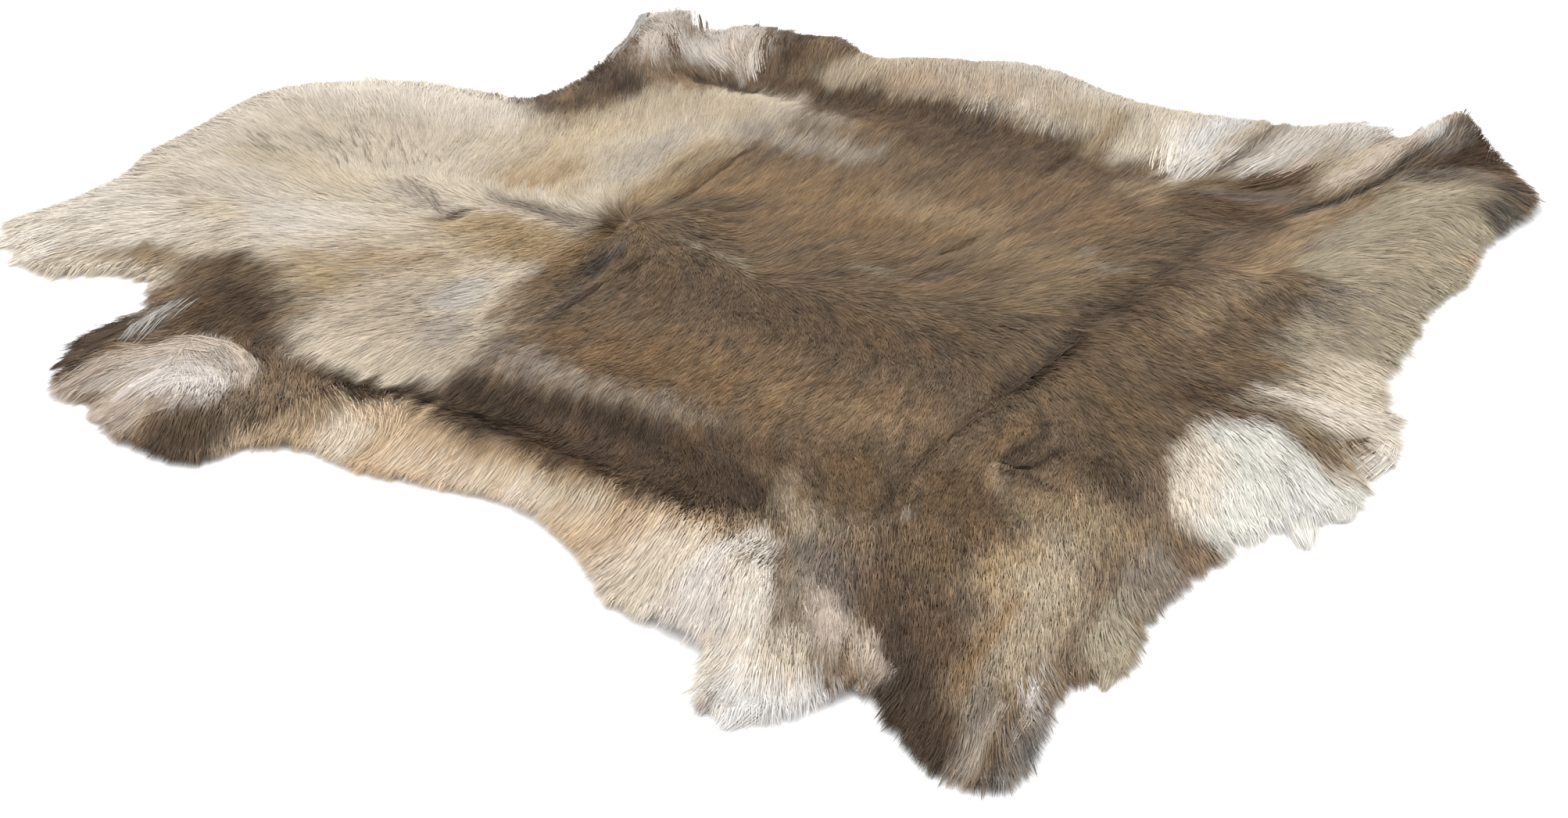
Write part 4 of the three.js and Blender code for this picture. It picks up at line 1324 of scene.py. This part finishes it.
def makeHair(name, sort, x, y):
    root, mid, tip, side, luck = growHair(sort, x, y)
    # dull at the root, palest near the tip
    tones = hairColours(root, tip, luck, sort["steps"])
    if len(tones) == 2:
        places = np.stack([root - side, root + side, tip], 1)
        colours = np.stack([tones[0], tones[0], tones[1]], 1)
        corners, starts = [0, 1, 2], [0]
        islands = np.array([[0.12, 0.1], [0.88, 0.1], [0.5, 0.9]])
    else:
        places = np.stack([root - side, root + side, mid - side * 0.8, mid + side * 0.8, tip], 1)
        colours = np.stack([tones[0], tones[0], tones[1], tones[1], tones[2]], 1)
        corners, starts = [0, 1, 3, 2, 2, 3, 4], [0, 4]
        islands = np.array([[0.12, 0.1], [0.88, 0.1], [0.88, 0.5], [0.12, 0.5],
                            [0.12, 0.5], [0.88, 0.5], [0.5, 0.9]])
    return hairMesh(name, places, colours, corners, starts, islands)


# long locks laid over the rest, each line from its roots to its tips
looseLocks = [
    # coat, hairs, spread, hair length, lift, line of x, y
    # right foreleg
    ("light silver", 300, 15, 60, 1.5, [(-486, 430), (-498, 476), (-512, 516), (-528, 548)]),
    ("mushroom", 200, 14, 60, 1.5, [(-500, 424), (-510, 466), (-522, 508), (-540, 540)]),
    ("bluish white", 140, 12, 60, 1.5, [(-498, 446), (-510, 486), (-518, 522), (-526, 556)]),
    ("steel", 130, 6, 50, 1.5, [(-520, 390), (-532, 430), (-540, 480), (-550, 530)]),
    ("dark brown", 280, 7, 60, 2.0, [(-456, 426), (-488, 466), (-510, 512), (-534, 570)]),
    ("dark brown", 12, 2, 60, 3.0, [(-468, 496), (-486, 524), (-512, 560)]),
    ("grey brown", 10, 2, 50, 3.0, [(-476, 520), (-500, 556)]),
    ("light silver", 260, 14, 60, 2.0, [(-400, 440), (-440, 466), (-474, 506), (-484, 546)]),
    ("light silver", 160, 12, 60, 2.0, [(-420, 446), (-444, 470), (-466, 510), (-474, 550)]),
    ("mushroom", 260, 14, 60, 2.0, [(-392, 452), (-430, 490), (-452, 530), (-462, 572)]),
    ("silver", 150, 14, 60, 2.0, [(-374, 430), (-402, 470), (-424, 520), (-434, 570)]),
    ("dark brown", 110, 10, 50, 2.0, [(-392, 480), (-412, 524), (-430, 574)]),
    ("light silver", 60, 5, 60, 2.5, [(-366, 424), (-386, 450), (-404, 480), (-424, 530)]),
    ("grey brown", 16, 3, 46, 3.0, [(-440, 546), (-454, 586)]),
    ("dark brown", 160, 10, 60, 1.5, [(-362, 430), (-384, 480), (-402, 530), (-410, 578)]),
    # left foreleg
    ("mushroom", 340, 8, 74, 2.5, [(-516, -312), (-486, -298), (-446, -300), (-416, -322), (-400, -350)]),
    ("mushroom", 340, 9, 74, 2.0, [(-440, -306), (-486, -308), (-514, -340), (-528, -390), (-534, -440)]),
    ("light silver", 340, 12, 70, 1.5, [(-450, -316), (-492, -328), (-508, -372), (-514, -430)]),
    ("light silver", 340, 12, 70, 2.0, [(-412, -342), (-450, -322), (-484, -340), (-496, -380),
                                        (-500, -430)]),
    ("ash white", 360, 12, 66, 2.0, [(-408, -356), (-440, -338), (-470, -352), (-482, -394), (-478, -440)]),
    ("ash white", 260, 12, 56, 1.5, [(-414, -366), (-440, -354), (-460, -372), (-466, -410)]),
    ("mushroom", 200, 10, 50, 1.5, [(-420, -376), (-436, -392), (-450, -440)]),
    ("mushroom", 200, 16, 50, 1.5, [(-470, -390), (-476, -420), (-478, -456)]),
    ("steel", 60, 16, 56, 1.0, [(-560, -236), (-550, -280), (-538, -320), (-534, -340)]),
    ("dark", 420, 11, 50, 1.0, [(-552, -290), (-564, -326), (-576, -358)]),
    ("dark", 160, 7, 50, 1.0, [(-546, -330), (-556, -366), (-562, -402)]),
    # neck corner
    ("cream", 140, 16, 46, 0.5, [(-742, -170), (-758, -200), (-774, -240)]),
    ("cream", 120, 16, 46, 0.5, [(-716, -190), (-726, -220), (-738, -260)]),
    ("light golden", 90, 20, 26, 0.3, [(-622, -172), (-628, -190), (-634, -208)]),
    ("grey brown", 24, 22, 30, 0.5, [(-590, 62), (-630, 92), (-684, 112)]),
    ("grey brown", 20, 22, 30, 0.5, [(-580, 84), (-610, 116), (-650, 150)]),
    ("grey brown", 16, 18, 30, 0.5, [(-540, 84), (-570, 112), (-600, 146)]),
    ("grey brown", 18, 20, 30, 0.5, [(-650, 46), (-700, 70), (-744, 88)]),
    ("grey brown", 14, 20, 26, 0.5, [(-466, 32), (-505, 46), (-540, 70)]),
    ("oat", 60, 9, 34, 0.5, [(-766, -158), (-782, -180), (-799, -198)]),
    ("cream", 60, 9, 34, 0.5, [(-748, -186), (-766, -206), (-786, -222)]),
    ("oat", 60, 30, 36, 0.5, [(-560, 262), (-572, 280), (-582, 296)]),
    ("oat", 60, 30, 36, 0.5, [(-640, 254), (-654, 274), (-664, 288)]),
    ("oat", 60, 30, 36, 0.5, [(-700, 232), (-714, 250), (-726, 264)]),
    # partings and wrinkles: the dark locks laid along the creases are painted shade in them; the two grey
    # brown ones are the coat's own
    ("dark", 70, 5, 30, 0.2, [(170, 300), (160, 236), (156, 190), (147, 130)]),
    ("dark", 120, 6, 26, 0.2, [(150, 130), (144, 98), (150, 40), (147, 0), (145, -58)]),
    ("dark brown", 50, 6, 30, 0.2, [(146, -66), (137, -110), (141, -150), (136, -190), (144, -240)]),
    ("slate", 14, 4, 24, 0.3, [(-445, 42), (-448, 8)]),
    ("grey brown", 24, 9, 30, 0.4, [(-520, 62), (-484, 38), (-454, 14)]),
    ("grey brown", 50, 10, 36, 0.4, [(-330, 62), (-380, 68), (-430, 64)]),
    ("black", 60, 2, 20, 0.2, [(186, -158), (204, -164), (221, -156)]),
    ("dark", 26, 4, 22, 0.2, [(197, -106), (201, -130), (205, -152)]),
    ("dark", 40, 2.5, 26, 0.2, [(-291, 290), (-289, 220), (-288, 140)]),
    ("dark", 40, 2, 26, 0.2, [(-251, 38), (-250, -10), (-254, -50), (-256, -110)]),
    ("umber", 30, 3, 24, 0.2, [(-12, 214), (-18, 190), (-26, 164)]),
    # rump and tail
    ("grey brown", 40, 14, 60, 1.0, [(348, -14), (378, -52), (412, -104)]),
    ("dark brown", 30, 10, 50, 1.0, [(366, -20), (392, -56), (420, -96)]),
    ("dark brown", 110, 5, 40, 1.5, [(376, 6), (400, -14), (426, -40), (440, -60)]),
    ("umber", 90, 4, 30, 2.5, [(406, -16), (418, -4), (426, 8), (434, 20)]),
    ("cream", 160, 10, 46, 2.0, [(440, -50), (446, -24), (450, 0), (448, 26)]),
    ("oat", 260, 14, 56, 1.5, [(330, 62), (370, 52), (410, 44), (440, 50)]),
    ("white", 200, 18, 90, 1.0, [(334, -14), (372, -60), (408, -104), (440, -152)]),
    ("white", 160, 16, 90, 1.0, [(326, -50), (358, -100), (392, -150), (418, -188)]),
    ("cream tan", 90, 8, 80, 1.0, [(320, -40), (334, -90), (358, -140), (386, -180)]),
    ("white", 160, 14, 80, 1.0, [(352, -8), (392, -44), (428, -80), (456, -106)]),
    ("grey brown", 16, 5, 60, 1.3, [(350, -24), (384, -58), (414, -96)]),
    ("dark brown", 9, 3, 60, 1.4, [(362, -24), (394, -56), (420, -88)]),
    ("white", 160, 12, 50, 1.0, [(410, -100), (434, -130), (454, -166)]),
    ("white", 160, 12, 50, 1.0, [(430, -66), (448, -88), (462, -114)]),
    # right belly
    ("bluish white", 170, 12, 70, 1.5, [(84, 410), (76, 460), (66, 520), (56, 590)]),
    ("cream", 200, 12, 70, 1.5, [(76, 416), (56, 470), (36, 530), (22, 590)]),
    ("bluish white", 200, 12, 70, 1.5, [(92, 414), (96, 470), (100, 530), (104, 600)]),
    ("grey brown", 70, 4, 60, 1.5, [(108, 436), (116, 490), (120, 545), (122, 600)]),
    ("bluish white", 200, 14, 60, 1.5, [(128, 450), (144, 500), (152, 560), (160, 626)]),
    ("dark brown", 120, 8, 60, 1.0, [(136, 424), (164, 450), (182, 484), (190, 520)]),
    ("mushroom", 130, 8, 60, 1.5, [(150, 450), (170, 490), (178, 540), (178, 590)]),
    ("mushroom", 180, 10, 60, 1.5, [(206, 450), (224, 490), (232, 545), (236, 610)]),
    ("cool white", 120, 11, 44, 2.0, [(172, 596), (178, 620), (184, 648)]),
    ("cool white", 120, 11, 44, 2.0, [(200, 596), (206, 622), (210, 650)]),
    ("bluish white", 90, 9, 40, 2.0, [(226, 590), (236, 606), (248, 618)]),
    ("silver", 50, 14, 44, 1.0, [(-140, 446), (-150, 480), (-166, 520)]),
    ("silver", 70, 20, 44, 1.0, [(-70, 440), (-80, 474), (-92, 512)]),
    ("mushroom", 90, 12, 50, 1.5, [(-100, 470), (-112, 506), (-130, 548)]),
    ("olive", 90, 5, 56, 1.5, [(-10, 430), (-16, 476), (-26, 530)]),
    # left hind leg
    ("ash white", 240, 18, 70, 1.0, [(60, -364), (78, -410), (94, -450), (106, -500)]),
    ("oat", 260, 16, 70, 1.5, [(96, -376), (126, -430), (148, -490), (164, -560)]),
    ("brown", 150, 7, 60, 1.0, [(130, -388), (158, -436), (180, -478), (198, -516)]),
    ("cream", 140, 10, 60, 1.5, [(150, -480), (172, -530), (188, -590)]),
    ("grey brown", 170, 9, 70, 1.5, [(108, -356), (142, -410), (168, -460), (188, -510)]),
    ("grey brown", 200, 8, 70, 1.5, [(128, -360), (164, -416), (192, -468), (214, -520)]),
    ("mushroom", 220, 10, 64, 1.5, [(150, -388), (178, -426), (204, -468), (222, -512)]),
    ("light silver", 90, 8, 56, 1.5, [(164, -394), (190, -430), (214, -468), (232, -500)]),
    ("dark", 260, 14, 66, 1.5, [(262, -430), (288, -478), (314, -520), (344, -564)]),
    ("dark", 160, 8, 60, 1.5, [(276, -470), (296, -510), (322, -548)]),
    ("grey brown", 120, 7, 60, 1.5, [(330, -440), (344, -490), (356, -530), (368, -570)]),
    ("slate", 180, 6, 60, 1.0, [(370, -450), (376, -500), (382, -540), (387, -574)]),
    ("silver", 90, 5, 60, 2.0, [(348, -460), (356, -505), (368, -556)]),
    ("cool white", 16, 4, 40, 2.0, [(362, -424), (366, -450), (370, -478)]),
    ("greige", 90, 8, 50, 1.5, [(386, -350), (396, -390), (404, -424)]),
    ("silver", 40, 5, 50, 2.0, [(366, -440), (376, -490), (384, -540)]),
    ("light silver", 90, 8, 50, 1.5, [(262, -452), (258, -480), (256, -512)]),
    ("cool white", 160, 14, 50, 1.5, [(198, -530), (198, -566), (197, -600)]),
]


# the marked place of a lock's line, brought down onto the lying hide
def onHide(line):
    x = np.array([p[0] for p in line], dtype=float)
    y = np.array([p[1] for p in line], dtype=float)
    px, py = x.copy(), y.copy()
    for _ in range(8):
        z = sampleMap(furTop, px, py)
        px, py = 0.5 * (px + x - slant[0] * z), 0.5 * (py + y - slant[1] * z)
    return px, py


def smoothLine(x, y, count):
    far = np.concatenate([[0], np.cumsum(np.hypot(np.diff(x), np.diff(y)))])
    steps = np.linspace(0, far[-1], count)
    x, y = np.interp(steps, far, x), np.interp(steps, far, y)
    for _ in range(count // 2):
        x[1:-1] = 0.25 * x[:-2] + 0.5 * x[1:-1] + 0.25 * x[2:]
        y[1:-1] = 0.25 * y[:-2] + 0.5 * y[1:-1] + 0.25 * y[2:]
    return x, y, far[-1]


lockHair = {"steps": 41, "own": (0.7, 1.1), "aside": 0.6, "width": (0.35, 0.6), "shade": 0.13, "light": 0.07}
strand = {
    # along it from its root, width, how far it stands aside from its tuft's middle
    "stations": ((0, 1, 1), (0.33, 0.85, 0.9), (0.68, 0.6, 0.55), (1, 0, 0.15)),
    "rootDepth": 2.2,
}


# both sides of a strand at one station, or its single tip
def addStation(sides, px, py, pz, ax, ay, half):
    sides.append((px - ay * half, py + ax * half, pz))
    if np.any(half):
        sides.append((px + ay * half, py - ax * half, pz))


def layLocks(rows):
    spots, colours = [], []
    for coat, hairs, spread, length, lift, line in rows:
        x, y, whole = smoothLine(*onHide(line), lockHair["steps"])
        walk = np.linspace(0, whole, lockHair["steps"])
        ax, ay = np.gradient(x), np.gradient(y)
        size = np.hypot(ax, ay)
        ax, ay = ax / size, ay / size
        own = length * dice.uniform(*lockHair["own"], hairs)
        start = dice.uniform(0, 1, hairs) * np.maximum(whole - own * 0.8, 1)
        aside = dice.normal(0, spread * lockHair["aside"], hairs)
        luck = dice.uniform(-1, 1, hairs)
        width = dice.uniform(*lockHair["width"], hairs)
        sides = []
        for step, thick, _ in strand["stations"]:
            at = np.minimum(start + own * step, whole)
            px, py = np.interp(at, walk, x), np.interp(at, walk, y)
            dx, dy = np.interp(at, walk, ax), np.interp(at, walk, ay)
            off = aside * (1 - 0.55 * (at / whole) ** 2) + luck * 2.0 * step
            px, py = px - dy * off, py + dx * off
            out = np.maximum(-sampleMap(inward, px, py), 0)
            rise = (0.4 + 0.5 * lift * math.sin(math.pi * (0.1 + 0.8 * step))) * (1 + 0.5 * luck)
            pz = sampleMap(furTop, px, py) - strand["rootDepth"] * (step == 0) + rise - 0.3 * out
            pz = np.maximum(pz, 1.8 + 1.2 * luck)
            addStation(sides, px, py, pz, dx, dy, width * thick)
        spots.append(np.stack([np.stack(s, 1) for s in sides], 1))
        tone = np.array(linear(coats[coat]))
        shade = 1 + dice.normal(0, lockHair["shade"], hairs) + lockHair["light"] * luck
        colours.append(tone[None] * np.clip(shade, 0.5, 1.6)[:, None])
    return np.concatenate(spots), np.concatenate(colours)


rootX, rootY = plantRoots(shortHair)
shortParts = {
    "hair_neck": rootX < -400,
    "hair_withers": (rootX >= -400) & (rootX < -110),
    "hair_loin": (rootX >= -110) & (rootX < 165),
    "hair_rump": rootX >= 165,
}
hairPieces = [makeHair(name, shortHair, rootX[pick], rootY[pick]) for name, pick in shortParts.items()]

rootX, rootY = plantRoots(longHair)
longParts = {"long_hair_right": rootY > 60, "long_hair_left": rootY <= 60}
hairPieces += [makeHair(name, longHair, rootX[pick], rootY[pick]) for name, pick in longParts.items()]

tufts = {"every": 8.0, "hairs": 8, "length": 32, "spread": 2.4, "past": (0.7, 3.0), "farthest": 24,
         "width": (0.3, 0.5), "shade": 0.12}


# thin tufts whose tips stand out past the cut edge
def rimTufts(tufts):
    ringX, ringY = np.append(edgeX, edgeX[0]), np.append(edgeY, edgeY[0])
    walk = np.concatenate([[0], np.cumsum(np.hypot(np.diff(ringX), np.diff(ringY)))])
    at = np.arange(0, walk[-1], tufts["every"])
    at = at + dice.uniform(-0.45, 0.45, len(at)) * tufts["every"]
    ex, ey = np.interp(at, walk, ringX), np.interp(at, walk, ringY)
    ox, oy = sampleMap(outX, ex, ey), sampleMap(outY, ex, ey)
    turn = np.arctan2(sampleMap(lieY, ex, ey) + 0.4 * oy, sampleMap(lieX, ex, ey) + 0.4 * ox)
    turn += dice.normal(0, 0.16, len(at))
    ax, ay = np.cos(turn), np.sin(turn)
    lean = ax * ox + ay * oy
    past = fringeAt(ex, ey) * dice.uniform(*tufts["past"], len(at))
    past = np.minimum(past, tufts["farthest"]) / np.clip(lean, 0.4, 1)
    ex, ey, ax, ay, past = (np.repeat(v[lean > 0.25], tufts["hairs"]) for v in (ex, ey, ax, ay, past))
    count = len(ex)
    own = tufts["length"] * dice.uniform(0.7, 1.15, count)
    aside = dice.normal(0, tufts["spread"], count)
    reach = past * dice.uniform(0.5, 1.0, count)
    width = dice.uniform(*tufts["width"], count)
    luck = dice.uniform(0, 1, count)
    sides = []
    for step, thick, gather in strand["stations"]:
        px = ex + ax * (reach - own * (1 - step)) - ay * aside * gather
        py = ey + ay * (reach - own * (1 - step)) + ax * aside * gather
        out = np.maximum(-sampleMap(inward, px, py), 0)
        pz = sampleMap(furTop, px, py) - strand["rootDepth"] * (step == 0) + luck - 0.35 * out
        pz = np.maximum(pz, 1.2 + 1.6 * luck)
        addStation(sides, px, py, pz, ax, ay, width * thick)
    tone = coatColours(ex - 7 * ax, ey - 7 * ay, dice.uniform(0, 1, count))
    tone *= (1 + dice.normal(0, tufts["shade"], count))[:, None]
    return np.stack([np.stack(s, 1) for s in sides], 1), tone


corners, starts = [0, 1, 3, 2, 2, 3, 5, 4, 4, 5, 6], [0, 4, 8]
heights = [0.1, 0.1, 0.36, 0.36, 0.36, 0.36, 0.64, 0.64, 0.64, 0.64, 0.9]
islands = np.array([[0.12 + 0.76 * (c % 2), h] for c, h in zip(corners, heights)])
steps = np.array([0.86, 0.86, 0.96, 0.96, 1.03, 1.03, 1.1])[None, :, None]
for name, (places, colours) in {"loose_locks": layLocks(looseLocks), "rim_tufts": rimTufts(tufts)}.items():
    hairPieces.append(hairMesh(name, places, colours[:, None, :] * steps, corners, starts, islands))


bpy.ops.mesh.primitive_plane_add(size=studio["floorSize"], location=(0, 0, 0))
floor = bpy.context.object
floor.name = "paper_sweep"
floor.data.materials.append(paper)
print("floor laid")
